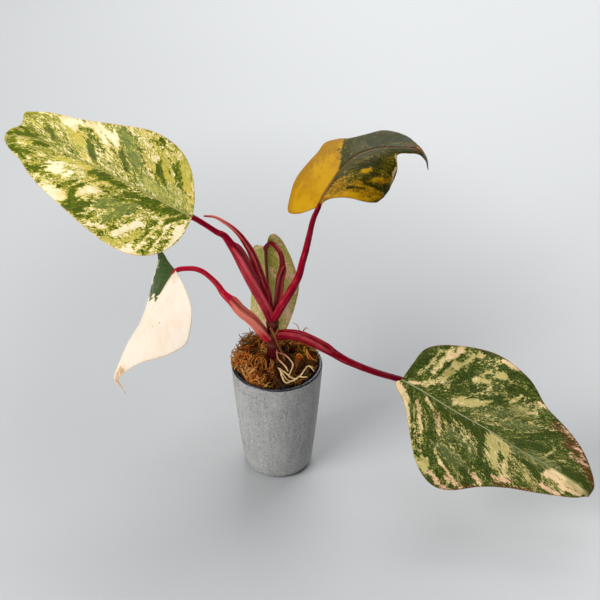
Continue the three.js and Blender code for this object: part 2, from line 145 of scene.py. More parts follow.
def smoothstep(x: np.ndarray, low: float, high: float) -> np.ndarray:
    """Rises smoothly from 0 at low to 1 at high."""
    s = np.clip((x - low) / (high - low), 0, 1)
    return s * s * (3 - 2 * s)


def grain(x: np.ndarray, y: np.ndarray, seed: int) -> np.ndarray:
    """Smooth seeded noise over a plane.

    Args:
        x, y: where to read it. One unit is one lump.
        seed: picks the pattern.

    Returns:
        Values from -1 to 1.
    """
    table = np.random.default_rng(seed).uniform(-1, 1, (GRAIN_TABLE, GRAIN_TABLE))
    i, j = np.floor(x).astype(int), np.floor(y).astype(int)
    fx, fy = smoothstep(x - i, 0, 1), smoothstep(y - j, 0, 1)
    rows = [table[(i + di) % GRAIN_TABLE, (j + dj) % GRAIN_TABLE] for dj in (0, 1) for di in (0, 1)]
    low = rows[0] * (1 - fx) + rows[1] * fx
    high = rows[2] * (1 - fx) + rows[3] * fx
    return low * (1 - fy) + high * fy


class Curve:
    """A smooth curve through points, read by its share of length."""

    def __init__(self, points: list[Point]) -> None:
        """Measures the curve's length along its parameter.

        Args:
            points: the points that it passes through.
        """
        self.points = points
        self.steps = np.linspace(0, 1, 401)
        spans = np.linalg.norm(np.diff(spline3(points, self.steps), axis=0), axis=1)
        self.run = np.concatenate([[0], np.cumsum(spans)])
        self.length = float(self.run[-1])

    def parameter(self, t: np.ndarray) -> np.ndarray:
        """The curve's own parameter at a share of its length."""
        return np.interp(np.asarray(t, float) * self.length, self.run, self.steps)

    def point(self, t: np.ndarray) -> np.ndarray:
        """The point at a share of its length."""
        return spline3(self.points, self.parameter(t))

    def tangent(self, t: np.ndarray) -> np.ndarray:
        """The unit direction at a share of its length."""
        before, after = (spline3(self.points, np.clip(self.parameter(t) + s, 0, 1)) for s in (-1e-3, 1e-3))
        return unit(after - before)


def ring_faces(steps: int, sides: int) -> np.ndarray:
    """The faces between the closed rings of a tube.

    Args:
        steps: the number of rings, less one.
        sides: the points in a ring.

    Returns:
        Four corners for each face, ring by ring.
    """
    i, j = np.meshgrid(np.arange(steps), np.arange(sides), indexing="ij")
    ring, beyond = i * sides, (j + 1) % sides
    return np.stack([ring + j, ring + beyond, ring + sides + beyond, ring + sides + j], -1).reshape(-1, 4)


def cap_faces(middle: int, ring: np.ndarray, beyond: np.ndarray) -> np.ndarray:
    """Triangles from a middle point to each pair of neighbours on a ring."""
    return np.stack([np.full(len(ring), middle), ring, beyond, beyond], -1)


def tidy_faces(faces: np.ndarray, slots: np.ndarray) -> tuple[np.ndarray, np.ndarray]:
    """Drops faces with no area and turns pinched ones into triangles.

    Args:
        faces: four corners each.
        slots: one material slot for each face.

    Returns:
        The faces, a triangle with its last corner twice, and their slots.
    """
    same = faces == np.roll(faces, -1, axis=1)
    pinches = same.sum(1)
    kept, kinds = [faces[pinches == 0]], [slots[pinches == 0]]
    for k in range(4):
        pick = (pinches == 1) & same[:, k]
        kept.append(faces[pick][:, [(k + 1) % 4, (k + 2) % 4, (k + 3) % 4, (k + 3) % 4]])
        kinds.append(slots[pick])
    return np.concatenate(kept), np.concatenate(kinds)


@dataclass
class Skin:
    """A mesh in the making: points in millimetres, faces with four corners, and vectors on the points."""

    points: np.ndarray
    faces: np.ndarray
    values: dict[str, np.ndarray] = field(default_factory=dict)
    slots: np.ndarray | None = None
    uv: np.ndarray | None = None

    def joined(self, other: "Skin") -> "Skin":
        """Puts two skins with the same values into one.

        Args:
            other: the skin to add.

        Returns:
            A skin with the faces of both.
        """
        values = {name: np.concatenate([v, other.values[name]]) for name, v in self.values.items()}
        faces = np.concatenate([self.faces, other.faces + len(self.points)])
        return Skin(np.concatenate([self.points, other.points]), faces, values)

    def trimmed(self) -> "Skin":
        """Leaves out the points that no face uses.

        Returns:
            The same skin without them.
        """
        used, inverse = np.unique(self.faces, return_inverse=True)
        values = {name: rows[used] for name, rows in self.values.items()}
        uv = None if self.uv is None else self.uv[used]
        return Skin(self.points[used], inverse.reshape(self.faces.shape), values, self.slots, uv)

    def build(self, name: str, node: str, *materials: bpy.types.Material) -> bpy.types.Object:
        """Makes the object, hides the CAD node it stands for and ties it to the body.

        Args:
            name: the piece's name.
            node: the CAD node that it replaces.
            materials: the finishes, in the order of the face slots.

        Returns:
            The new object.
        """
        mesh = bpy.data.meshes.new(name)
        corner = np.ones(self.faces.shape, bool)
        corner[:, 3] = self.faces[:, 3] != self.faces[:, 2]
        loops, counts = self.faces[corner], corner.sum(1)
        mesh.vertices.add(len(self.points))
        mesh.vertices.foreach_set("co", (self.points * MM).astype(np.float32).ravel())
        mesh.loops.add(len(loops))
        mesh.loops.foreach_set("vertex_index", loops.astype(np.int32))
        mesh.polygons.add(len(counts))
        mesh.polygons.foreach_set("loop_start", (np.cumsum(counts) - counts).astype(np.int32))
        if self.slots is not None:
            mesh.polygons.foreach_set("material_index", self.slots.astype(np.int32))
        if self.uv is not None:
            layer = mesh.uv_layers.new(name="OFBake")
            layer.data.foreach_set("uv", self.uv[loops].astype(np.float32).ravel())
        for value, rows in self.values.items():
            layer = mesh.attributes.new(value, "FLOAT_VECTOR", "POINT")
            layer.data.foreach_set("vector", rows.astype(np.float32).ravel())
        mesh.update(calc_edges=True)
        mesh.validate()
        mesh.shade_smooth()
        for material in materials:
            mesh.materials.append(material)
        piece = bpy.data.objects.new(name, mesh)
        bpy.context.scene.collection.objects.link(piece)
        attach(piece, "root")
        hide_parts(node)
        return piece


def tube_grid(steps: int, sides: int) -> tuple[np.ndarray, np.ndarray]:
    """A tube's shares of length, as a column, and the angles round it, as a row."""
    return np.linspace(0, 1, steps + 1)[:, None], np.linspace(0, FULL_TURN, sides, endpoint=False)[None]


def sweep(curve: Curve, inner: np.ndarray | Point, radius: np.ndarray) -> Skin:
    """A tube along a curve, closed at both ends.

    Args:
        curve: its centre line.
        inner: the direction of angle 0, for the whole tube or for each ring.
        radius: the distance from the curve, for each ring and side.

    Returns:
        The skin, with "tube" as distance along, angle and radius.
    """
    steps, sides = radius.shape[0] - 1, radius.shape[1]
    t, angle = tube_grid(steps, sides)
    centre, along = curve.point(t[:, 0]), curve.tangent(t[:, 0])
    up = unit(inner - along * np.sum(inner * along, -1, keepdims=True))
    side = np.cross(along, up)
    rings = centre[:, None] + radius[..., None] * (
        up[:, None] * np.cos(angle)[..., None] + side[:, None] * np.sin(angle)[..., None])
    run, turn, _ = np.broadcast_arrays(t * curve.length, np.minimum(angle, FULL_TURN - angle), radius)
    points = np.concatenate([rings.reshape(-1, 3), centre[:1], centre[-1:]])
    ring, base, first = np.arange(sides), steps * sides, len(points) - 2
    beyond = (ring + 1) % sides
    faces = np.concatenate([ring_faces(steps, sides), cap_faces(first, beyond, ring),
                            cap_faces(first + 1, base + ring, base + beyond)])
    return Skin(points, faces, {"tube": with_ends(run, turn, radius)})


def with_ends(*values: np.ndarray) -> np.ndarray:
    """Stacks three values of a tube's rings into rows, and repeats the outer rows for its two end points."""
    rows = np.stack(values, -1).reshape(-1, 3)
    return np.concatenate([rows, rows[:1], rows[-1:]])


def tube_tint(shape: tuple[int, int], flush: np.ndarray, dark: np.ndarray) -> np.ndarray:
    """The flushed and dark shares on a tube's rings and on its two end points."""
    return with_ends(*(np.broadcast_to(share, shape) for share in (flush, dark, 0.0)))


class Wire:
    """A value in a material's node tree. Sums that are written with it add nodes."""

    def __init__(self, tree: bpy.types.NodeTree, socket: bpy.types.NodeSocket) -> None:
        """Keeps a node's output.

        Args:
            tree: the node tree that it is in.
            socket: the output.
        """
        self.tree = tree
        self.socket = socket

    def into(self, kind: str, inputs: dict, **settings: object) -> "Wire":
        """The first output of a new node in the same tree."""
        return Wire(self.tree, add_node(self.tree, kind, inputs, **settings).outputs[0])

    def maths(self, operation: str, a: "Wire | float", b: "Wire | float" = 0.5) -> "Wire":
        """The result of a math node."""
        return self.into("Math", {0: a, 1: b}, operation=operation)

    def __add__(self, other: "Wire | float") -> "Wire":
        """The sum."""
        return self.maths("ADD", self, other)

    def __sub__(self, other: "Wire | float") -> "Wire":
        """The difference."""
        return self.maths("SUBTRACT", self, other)

    def __rsub__(self, other: float) -> "Wire":
        """The difference from a number."""
        return self.maths("SUBTRACT", other, self)

    def __mul__(self, other: "Wire | float") -> "Wire":
        """The product."""
        return self.maths("MULTIPLY", self, other)

    def __abs__(self) -> "Wire":
        """The value without its sign."""
        return self.maths("ABSOLUTE", self)

    def fraction(self) -> "Wire":
        """What is past the whole number."""
        return self.maths("FRACT", self)

    def most(self, other: "Wire") -> "Wire":
        """The larger of two values."""
        return self.maths("MAXIMUM", self, other)

    def held(self) -> "Wire":
        """The same sum, kept from 0 to 1."""
        self.socket.node.use_clamp = True
        return self

    def eased(self, low: float, high: float, start: float = 0.0, end: float = 1.0) -> "Wire":
        """Turns smoothly from start, where the value is low, to end, where it is high."""
        inputs = {"Value": self, "From Min": low, "From Max": high, "To Min": start, "To Max": end}
        return self.into("MapRange", inputs, interpolation_type="SMOOTHSTEP")

    def axes(self) -> list["Wire"]:
        """The three parts of a vector."""
        return [Wire(self.tree, out) for out in add_node(self.tree, "SeparateXYZ", {0: self}).outputs]

    def noise(self, size: float | Point, detail: float, rough: float = 0.5, twist: float = 0.0) -> "Wire":
        """Noise at a vector, about 0.5.

        Args:
            size: how fine it is, for the whole vector or for each of its parts.
            detail, rough: how many finer layers it has, and how strong they are.
            twist: how far it is distorted.

        Returns:
            The noise.
        """
        place = self
        if isinstance(size, tuple):
            place, size = self.into("VectorMath", {0: self, 1: size}, operation="MULTIPLY"), 1
        return place.into("TexNoise", {"Vector": place, "Scale": size, "Detail": detail, "Roughness": rough,
                                       "Distortion": twist})


def add_node(tree: bpy.types.NodeTree, kind: str, inputs: dict, **settings: object) -> bpy.types.Node:
    """Adds a node.

    Args:
        tree: the node tree.
        kind: the node's type, without its ShaderNode prefix.
        inputs: a number, a colour or a wire for each input, by name or number.
        settings: the node's own properties.

    Returns:
        The new node.
    """
    node = tree.nodes.new("ShaderNode" + kind)
    for key, value in settings.items():
        setattr(node, key, value)
    for key, value in inputs.items():
        socket = node.inputs[key]
        if isinstance(value, Wire):
            tree.links.new(value.socket, socket)
        else:
            socket.default_value = (*value, 1) if socket.type == "RGBA" else value
    return node


class NodeSheet:
    """A material's node tree, with short calls that add and link its nodes."""

    def __init__(self, name: str) -> None:
        """Starts an empty material.

        Args:
            name: the material's name.
        """
        self.material = bpy.data.materials.new(name)
        self.material.use_nodes = True
        self.tree = self.material.node_tree
        self.tree.nodes.clear()

    def wire(self, output: int | str, kind: str, inputs: dict | None = None, **settings: object) -> Wire:
        """One output of a new node."""
        return Wire(self.tree, add_node(self.tree, kind, inputs or {}, **settings).outputs[output])

    def attribute(self, name: str, output: str = "Vector") -> Wire:
        """A vector carried by the mesh."""
        return self.wire(output, "Attribute", attribute_name=name, attribute_type="GEOMETRY")

    def place(self) -> Wire:
        """The place on the piece, in metres."""
        return self.wire("Object", "TexCoord")

    def mix(self, share: Wire | float, a: Wire | Colour, b: Wire | Colour) -> Wire:
        """Mixes two colours: a where the share is 0, b where it is 1."""
        return self.wire(2, "Mix", {0: share, 6: a, 7: b}, data_type="RGBA")

    def ramp(self, value: Wire, stops: Stops) -> Wire:
        """A colour ramp.

        Args:
            value: where to read it.
            stops: each place and its linear colour.

        Returns:
            The colour.
        """
        node = add_node(self.tree, "ValToRGB", {0: value})
        elements = node.color_ramp.elements
        while len(elements) < len(stops):
            elements.new(1)
        for element, (place, colour) in zip(elements, stops):
            element.position = place
            element.color = (*colour, 1)
        return Wire(self.tree, node.outputs[0])

    def bump(self, height: Wire, distance: float, strength: float) -> Wire:
        """A normal bumped by a relief, whose height of 1 stands for a distance in metres."""
        return self.wire(0, "Bump", {"Height": height, "Distance": distance, "Strength": strength})

    def end(self, inputs: dict[str, object]) -> bpy.types.Material:
        """Adds the shader and ends the material.

        Args:
            inputs: the shader's inputs, with _ for a space.

        Returns:
            The material.
        """
        inputs = {key.replace("_", " "): value for key, value in inputs.items()}
        shader = add_node(self.tree, "BsdfPrincipled", inputs)
        add_node(self.tree, "OutputMaterial", {0: Wire(self.tree, shader.outputs[0])})
        return self.material


class Finish:
    """What any finish can do: be built as a material of its own."""

    def dress(self, sheet: NodeSheet) -> dict[str, object]:
        """The shader's inputs."""
        raise NotImplementedError

    def material(self, name: str) -> bpy.types.Material:
        """Builds the finish under a name."""
        sheet = NodeSheet(name)
        return sheet.end(self.dress(sheet))


class Tone(Enum):
    """What a patch of a blade is: light, mottle, yellow, pink and sheen, each from 0 to about 1. The sheen is
    a painted greyish reflection laid over the patch's colour.
    """

    DEEP = (0.1, 0.45, 0.0, 0.0, 0.0)
    GREEN = (0.22, 0.7, 0.0, 0.0, 0.0)
    PLAIN = (0.26, 0.12, 0.0, 0.0, 0.0)
    # Plain dark green under a painted greyish sheen.
    GLAZED = (0.3, 0.12, 0.0, 0.0, 0.7)
    OLIVE = (0.42, 0.4, 0.0, 0.0, 0.0)
    LIME = (0.57, 0.34, 0.0, 0.0, 0.0)
    BUFF = (0.6, 0.14, 0.0, 0.0, 0.0)
    SPECKLED = (0.36, 1.2, 0.0, 0.0, 0.0)
    MOTTLED = (0.52, 1.2, 0.0, 0.0, 0.0)
    PALE = (0.72, 0.7, 0.0, 0.0, 0.0)
    CREAM = (1.02, 0.4, 0.0, 0.0, 0.0)
    # Green under a painted greyish sheen, partly the leaf's own greyish green; then a paler patch under
    # painted sheen.
    GREY = (0.26, 0.8, 0.0, 0.0, 0.7)
    SHEEN = (0.5, 0.6, 0.0, 0.0, 0.8)
    MUSTARD = (0.72, 0.2, 1.0, 0.0, 0.0)
    AMBER = (0.38, 1.1, 0.85, 0.0, 0.0)
    OCHRE = (0.46, 0.1, 1.0, 0.0, 0.0)
    PEACH = (1.0, 0.4, 0.0, 0.5, 0.0)
    ROSE = (0.7, 0.9, 0.0, 0.9, 0.0)
    BLUSH = (0.6, 1.1, 0.0, 0.45, 0.0)
    SPOTTED = (0.4, 0.9, 0.0, 0.9, 0.0)
    RUST = (0.22, 0.5, 0.0, 0.8, 0.0)


# A short name for the lists of strokes.
T = Tone

# A stroke of one tone, from a first to a second place (each along and across the rib), and its half width.
Stroke = tuple[Tone, float, float, float, float, float]


@dataclass(frozen=True)
class Palette:
    """The display colours of one side of a blade, from its darkest green to its palest patch."""

    deep: Colour
    green: Colour
    lime: Colour
    pale: Colour
    cream: Colour
    rib: Colour
    margin: Colour
    warm: Colour = (150, 138, 30)
    # The colour of the painted sheen, a greyish reflection that is partly the leaf's own greyish green.
    grey: Colour = (116, 128, 96)
    yellow: Colour = (186, 142, 6)
    ochre: Colour = (168, 118, 4)
    pink: Colour = (224, 120, 110)
    rust: Colour = (112, 44, 28)
    rib_shade: float = 0.45
    gloss: float = 0.4
    rib_reach: float = 0.5
    vein_mark: float = 0.07
    streak: float = 2.4
    fleck: float = 2.0

    def __post_init__(self) -> None:
        """Turns its colours into linear ones."""
        make_linear(self)


@dataclass(frozen=True)
class BladeFinish(Finish):
    """The finish of a blade's side: patches broken up along its side veins, a pale rib and a thin margin."""

    palette: Palette
    length: float
    rib_cover: float = 0.8
    rib_crease: float = 0.8
    relief: float = 0.00035
    tip_narrowing: float = 2.2
    veins_per_mm: float = 0.105
    shine: float = 0.12

    def dress(self, sheet: NodeSheet) -> dict[str, object]:
        """Adds the nodes.

        Args:
            sheet: where they go.

        Returns:
            The shader's inputs.
        """
        look = self.palette
        vein, tone, tint, blade = (sheet.attribute(kind) for kind in ("vein", "tone", "tint", "blade"))
        light, mottle, yellow = tone.axes()
        pink, grey, edge = tint.axes()
        along, offset, _ = blade.axes()
        across = abs(offset) * along.eased(0.0, self.length, 1.0, self.tip_narrowing)

        streak = vein.noise((0.38, 0.24, 1), 4, 0.68, 1.0)
        fleck = vein.noise((1.1, 0.8, 1), 2, 0.6, 0.6)
        dust = vein.noise((2.4, 1.8, 1), 2, 0.6, 0.5)
        soft = blade.noise((0.045, 0.07, 1), 3, 0.6)
        broken = (streak - 0.5) * look.streak + (fleck - 0.5) * look.fleck
        level = (light + broken * mottle).held()
        night = tuple(0.6 * c for c in look.deep)
        middle = tuple(0.5 * (c + d) for c, d in zip(look.green, look.lime))
        colour = sheet.ramp(level, (
            (0.0, night), (0.12, look.deep), (0.3, look.green), (0.43, middle),
            (0.53, look.lime), (0.64, look.lime), (0.75, look.pale), (0.88, look.cream)))

        # Dark dust on the pale patches, light dust on the dark ones, and broad warm clouds.
        colour = sheet.mix(dust.eased(0.38, 0.62, 0.0, 0.55) * level.eased(0.66, 0.4), colour, night)
        colour = sheet.mix(dust.eased(0.55, 0.36, 0.0, 0.16) * level.eased(0.5, 0.2), colour, look.lime)
        colour = sheet.mix(soft.eased(0.45, 0.7, 0.0, 0.62) * level.eased(0.38, 0.6), colour, look.warm)

        # Yellow parts, riper by the margin, then pink parts and the painted sheen: a greyish reflection,
        # partly the leaf's own greyish green.
        gold = sheet.mix(level.eased(0.1, 0.75), tuple(0.3 * c for c in look.yellow), look.yellow)
        ripe = soft.eased(0.42, 0.7, 0.0, 0.7).most(edge.eased(7.0, 0.0, 0.0, 0.75))
        colour = sheet.mix(yellow, colour, sheet.mix(ripe, gold, look.ochre))
        blush = (pink * fleck.eased(0.36, 0.62)).held()
        colour = sheet.mix(blush, colour, sheet.mix(level.eased(0.3, 0.62), look.rust, look.pink))
        colour = sheet.mix(grey * fleck.eased(0.35, 0.65, 0.62, 0.22), colour, look.grey)

        # Side veins, the shade beside the rib, the rib and the margin.
        wander = (blade.noise(0.05, 1) - 0.5) * 0.5
        ridge = abs((vein.axes()[0] * self.veins_per_mm + wander).fraction() - 0.5)
        colour = sheet.mix(ridge.eased(0.0, 0.06, look.vein_mark, 0.0), colour, look.pale)
        reach = look.rib_reach
        colour = sheet.mix(across.eased(reach + 0.4, reach + 1.4, look.rib_shade, 0.0), colour, look.deep)
        colour = sheet.mix(across.eased(reach, reach + 0.5, self.rib_cover, 0.0), colour, look.rib)
        colour = sheet.mix(edge.eased(0.4, 0.9, 0.5, 0.0), colour, look.margin)

        height = ridge.eased(0.0, 0.35) * 0.2 + blade.noise(1.8, 3, 0.6) * 0.25
        height = height + across.eased(0.0, 2.2) * self.rib_crease
        gloss = blade.noise(0.12, 3).eased(0.3, 0.7, look.gloss - 0.05, look.gloss + 0.1)
        return dict(Base_Color=colour, Roughness=gloss, Normal=sheet.bump(height, self.relief, 0.8),
                     Specular_IOR_Level=self.shine)


@dataclass
class Half:
    """One half of a blade: its flat margin as distances along and out from the rib, its fold and its curl."""

    margin: list[tuple[float, float]]
    fold: list[float]
    curl: list[float]

    @property
    def width(self) -> float:
        """The furthest that the half reaches out."""
        return max(out for _, out in self.margin)

    def at(self, t: np.ndarray) -> tuple[np.ndarray, np.ndarray, float]:
        """Its fold, its curl and its width at a share of the midrib."""
        return spline(self.fold, t), spline(self.curl, t), self.width


@dataclass
class LeafBlade:
    """An open leaf blade on its curved midrib."""

    name: str
    midrib: list[Point]
    face: list[Point]
    left: Half
    right: Half
    wave: tuple[float, float, float]
    upper: Palette
    lower: Palette
    base: Tone
    strokes: list[Stroke]
    fan: tuple[float, float] = (0.45, 3.0)
    rows: int = 230
    columns: int = 46
    thickness: float = 0.8
    margin_share: float = 0.45
    rib_height: float = 2.2
    rib_width: float = 2.6
    rib_taper: float = 0.75
    crease_depth: float = 0.3
    vein_gap: float = 9.5
    vein_depth: float = 0.06
    seed: int = 1

    def __post_init__(self) -> None:
        """Measures the midrib."""
        self.rib = Curve(self.midrib)

    def place(self, a: np.ndarray, b: np.ndarray) -> np.ndarray:
        """Where points of the flat blade lie in space.

        Args:
            a: distance along the midrib.
            b: distance across it, negative on the left half.

        Returns:
            One row of x, y, z for each point.
        """
        t = np.clip(a / self.rib.length, 0, 1)
        along = self.rib.tangent(t)
        point = self.rib.point(t) + along * (a - t * self.rib.length)[..., None]
        face = spline3(self.face, t)
        face = unit(face - along * np.sum(face * along, -1, keepdims=True))
        side = np.cross(along, face)
        left = b < 0
        fold, curl, width = (np.where(left, *pair) for pair in zip(self.left.at(t), self.right.at(t)))
        bend = np.radians(curl) / width
        reach = np.abs(b)
        middle = np.radians(fold) + bend * reach / 2
        flat = np.abs(bend * reach) < 1e-9
        chord = np.where(flat, reach, 2 * np.sin(bend * reach / 2) / np.where(flat, 1, bend))
        height, count, phase = self.wave
        turn = FULL_TURN * count * t + phase + np.where(left, 0, 2)
        wave = height * (b / width) ** 2 * np.sin(turn)
        across = (np.sign(b) * chord * np.cos(middle))[..., None]
        return point + side * across + face * (chord * np.sin(middle) + wave)[..., None]

    def spread(self) -> tuple[np.ndarray, np.ndarray, np.ndarray]:
        """Lays a grid over the flat blade.

        Returns:
            The distances along it, across it and left to its margin.
        """
        length = self.rib.length
        u = np.linspace(0, 1, self.rows + 1)
        shares = np.linspace(-1, 1, 2 * self.columns + 1)
        v = np.sign(shares) * np.abs(shares) ** 1.15
        start = length * u ** 1.7
        a = np.zeros((len(u), len(v)))
        b = np.zeros_like(a)
        for half, sign in ((self.left, -1), (self.right, 1)):
            end, reach = (spline(list(values), u) for values in zip((0, 0), *half.margin, (length, 0)))
            pick = v * sign >= 0
            share = np.abs(v[pick])[None]
            a[:, pick] = start[:, None] + (end - start)[:, None] * share
            b[:, pick] = sign * share * reach[:, None]
        a[[0, -1]] = a[[0, -1]][:, [self.columns]]
        b[[0, -1]] = 0
        edge = np.hypot(a - np.where(v < 0, a[:, :1], a[:, -1:]), b - np.where(v < 0, b[:, :1], b[:, -1:]))
        return a, b, edge

    def veins(self, a: np.ndarray, b: np.ndarray) -> tuple[np.ndarray, np.ndarray]:
        """Finds the side vein through each point.

        Args:
            a, b: the points on the flat blade.

        Returns:
            Where the vein leaves the rib, and how far along it the point is.
        """
        near, fan = self.fan
        reach = np.abs(b)
        row = (a - near * reach) / (1 + fan * reach / self.rib.length)
        return row, reach * np.hypot(1, near + fan * row / self.rib.length)

    def painted(self, a: np.ndarray, b: np.ndarray) -> np.ndarray:
        """The five tone values at each point, from the strokes laid over each other.

        A stroke's margin wanders with two noises, one broad and one fine. It stays on its own half of the
        blade, unless it crosses the rib, and it is most mottled where it fades out.

        Args:
            a, b: the points on the flat blade.

        Returns:
            One row of five values for each point.
        """
        tones = np.broadcast_to(np.array(self.base.value), (*a.shape, 5)).copy()
        row, _ = self.veins(a, b)
        broad, broad_b = row / 3.2, b / 5
        fine, fine_b = row / 1.3, b / 2
        other = self.seed + 1
        for k, (tone, a1, b1, a2, b2, size) in enumerate(self.strokes):
            wobble = min(3.2, 0.65 * size)
            x = a + wobble * (grain(broad + 7 * k, broad_b, self.seed) + 0.6 * grain(fine, fine_b + k, 71))
            y = b + wobble * (grain(broad, broad_b + 5 * k, other) + 0.6 * grain(fine + k, fine_b, 72))
            run = np.array([a2 - a1, b2 - b1])
            share = ((x - a1) * run[0] + (y - b1) * run[1]) / max(float(run @ run), 1e-6)
            share = np.clip(share, 0, 1)
            gap = np.hypot(x - a1 - share * run[0], y - b1 - share * run[1])
            same = 1.0
            if b1 * b2 >= 0:
                same = np.where((b < 0) == (b1 + b2 < 0), 1.0, smoothstep(np.abs(b), 0.6, 0.0))
            # Strokes of painted sheen fade out more softly than the others.
            soft = 3.0 if tone in (Tone.GREY, Tone.SHEEN, Tone.GLAZED) else min(1.7, 0.6 * size)
            cover = smoothstep(-gap, -size - soft, min(soft - size, 0)) * same
            tones += cover[..., None] * (np.array(tone.value) - tones)
            tones[..., 1] += 2.4 * cover * (1 - cover)
        return tones

    def surfaces(self, a: np.ndarray, b: np.ndarray, edge: np.ndarray) -> np.ndarray:
        """The points of both sides: the upper with sunken veins, the lower with its raised rib.

        Args:
            a, b: the points on the flat blade.
            edge: their distance to the margin.

        Returns:
            The upper side's points, then the lower side's.
        """
        probe = 0.3
        across = self.place(a, b + probe) - self.place(a, b - probe)
        along = self.place(a + probe, b) - self.place(a - probe, b)
        normal = unit(np.cross(across, along))
        middle = self.place(a, b)
        half = self.thickness * (self.margin_share + (1 - self.margin_share) * smoothstep(edge, 0, 3)) / 2
        taper = 1 - self.rib_taper * np.clip(a, 0, None) / self.rib.length
        rise = smoothstep(a, -1, 4)
        rise[[0, -1]] = 0
        rib = self.rib_height * taper * rise * hump(b, 1.0) ** (1 / (self.rib_width * taper) ** 2)
        line = hump((self.veins(a, b)[0] / self.vein_gap) % 1 - 0.5, 0.09)
        vein = self.vein_depth * line * smoothstep(np.abs(b), 2, 6)
        crease = self.crease_depth * hump(b, 0.9) * rise
        top = middle + normal * (half - vein - crease)[..., None]
        bottom = middle - normal * (half + rib + vein)[..., None]
        return np.concatenate([top.reshape(-1, 3), bottom.reshape(-1, 3)])

    def faces(self, rows: int, width: int) -> tuple[np.ndarray, np.ndarray]:
        """The faces of both sides and of the margins.

        Args:
            rows, width: the points along the blade and across it.

        Returns:
            The faces, and their slots: 0 for the upper side and the margins, 1 for the lower side.
        """
        count = rows * width
        index = np.arange(count).reshape(rows, width)
        index[0], index[-1] = index[0, self.columns], index[-1, self.columns]
        side = np.stack([index[:-1, :-1], index[:-1, 1:], index[1:, 1:], index[1:, :-1]], -1).reshape(-1, 4)
        walls = []
        for column, order in ((0, 1), (-1, -1)):
            upper, lower = index[:, column], index[:, column] + count
            walls.append(np.stack([upper[:-1], upper[1:], lower[1:], lower[:-1]], -1)[:, ::order])
        faces = np.concatenate([side, side[:, ::-1] + count, *walls])
        slots = np.zeros(len(faces))
        slots[len(side):2 * len(side)] = 1
        return tidy_faces(faces, slots)

    def skin(self) -> Skin:
        """Closes the blade's sides and margins into one skin.

        Returns:
            The skin, with its veins, its tones and a flat layout of both sides.
        """
        a, b, edge = self.spread()
        row, run = self.veins(a, b)
        tones = self.painted(a, b)
        seeds = np.full(a.shape, self.seed * 13.7)
        values = {
            "blade": (a, b, seeds),
            "vein": (row, run, seeds + 5 * (b < 0)),
            "tone": (tones[..., 0], tones[..., 1], tones[..., 2]),
            "tint": (tones[..., 3], tones[..., 4], edge),
        }
        values = {name: np.tile(np.stack(parts, -1).reshape(-1, 3), (2, 1)) for name, parts in values.items()}
        long = 0.98 * ((a - a.min()) / (a.max() - a.min()))
        wide = 0.49 * (b - b.min()) / (b.max() - b.min())
        half = np.stack([long, wide], -1).reshape(-1, 2)
        uv = np.concatenate([half + 0.005, half + [0.005, 0.505]])
        faces, slots = self.faces(*a.shape)
        return Skin(self.surfaces(a, b, edge), faces, values, slots, uv).trimmed()

    def build(self) -> bpy.types.Object:
        """Makes the dressed blade.

        Returns:
            The new object.
        """
        length = self.rib.length
        upper = BladeFinish(self.upper, length)
        lower = BladeFinish(self.lower, length, rib_cover=0.97, rib_crease=-0.4, relief=0.0003)
        return self.skin().build(f"{self.name}_blade", self.name, upper.material(f"{self.name}_upper"),
                                 lower.material(f"{self.name}_lower"))


@dataclass(frozen=True)
class StalkFinish(Finish):
    """The skin of a stalk: glossy dark red, salmon along its sheath's edges, with fine lengthwise streaks."""

    body: Colour
    flush: Colour
    dark: Colour
    gloss: float = 0.22
    shine: float = 0.07

    def __post_init__(self) -> None:
        """Turns its colours into linear ones."""
        make_linear(self)

    def dress(self, sheet: NodeSheet) -> dict[str, object]:
        """Adds the nodes.

        Args:
            sheet: where they go.

        Returns:
            The shader's inputs.
        """
        tube = sheet.attribute("tube")
        flush, dark, _ = sheet.attribute("tint").axes()
        lines = tube.noise((0.05, 4.0, 0.3), 3, 0.6)
        glints = tube.noise((0.08, 2.6, 0.7), 2, 0.5)
        flecks = tube.noise((0.14, 2.8, 0.5), 3, 0.6)
        share = (flush + lines.eased(0.3, 0.7, -0.3, 0.3) * 0.7).held()
        colour = sheet.mix(share * flush.eased(0.0, 0.3), self.body, self.flush)
        colour = sheet.mix(glints.eased(0.54, 0.66, 0.0, 0.4), colour, self.flush)
        # Dark flecks, and the mesh's dark share: darker parts of the stalk, with painted shade in grooves and
        # under the young leaf's lapping edge.
        deep = flecks.eased(0.42, 0.64) * flush.eased(0.25, 0.85, 0.5, 0.08)
        colour = sheet.mix(deep.most(dark), colour, self.dark)
        normal = sheet.bump(lines + flecks * 0.3, 0.00014, 0.6)
        gloss = flecks.eased(0.3, 0.7, self.gloss - 0.04, self.gloss + 0.1)
        return dict(Base_Color=colour, Roughness=gloss, Normal=normal, Specular_IOR_Level=self.shine)


@dataclass(frozen=True)
class CoarseFinish(Finish):
    """A coarse natural skin: one noise sets its colour, its roughness and its relief."""

    stops: Stops
    size: Point
    rough: tuple[float, float]
    relief: float
    noise_rough: float = 0.65
    bump: float = 0.8
    shine: float = 0.2
    patch: Colour | None = None
    patch_share: float = 1.0
    on_tube: bool = True

    def dress(self, sheet: NodeSheet) -> dict[str, object]:
        """Adds the nodes.

        Args:
            sheet: where they go.

        Returns:
            The shader's inputs.
        """
        place = sheet.attribute("tube") if self.on_tube else sheet.place()
        lines = place.noise(self.size, 4, self.noise_rough)
        colour = sheet.ramp(lines, self.stops)
        if self.patch:
            colour = sheet.mix(sheet.attribute("tint").axes()[0] * self.patch_share, colour, self.patch)
        return dict(Base_Color=colour, Roughness=lines.eased(0.3, 0.7, *self.rough),
                     Normal=sheet.bump(lines, self.relief, self.bump), Specular_IOR_Level=self.shine)


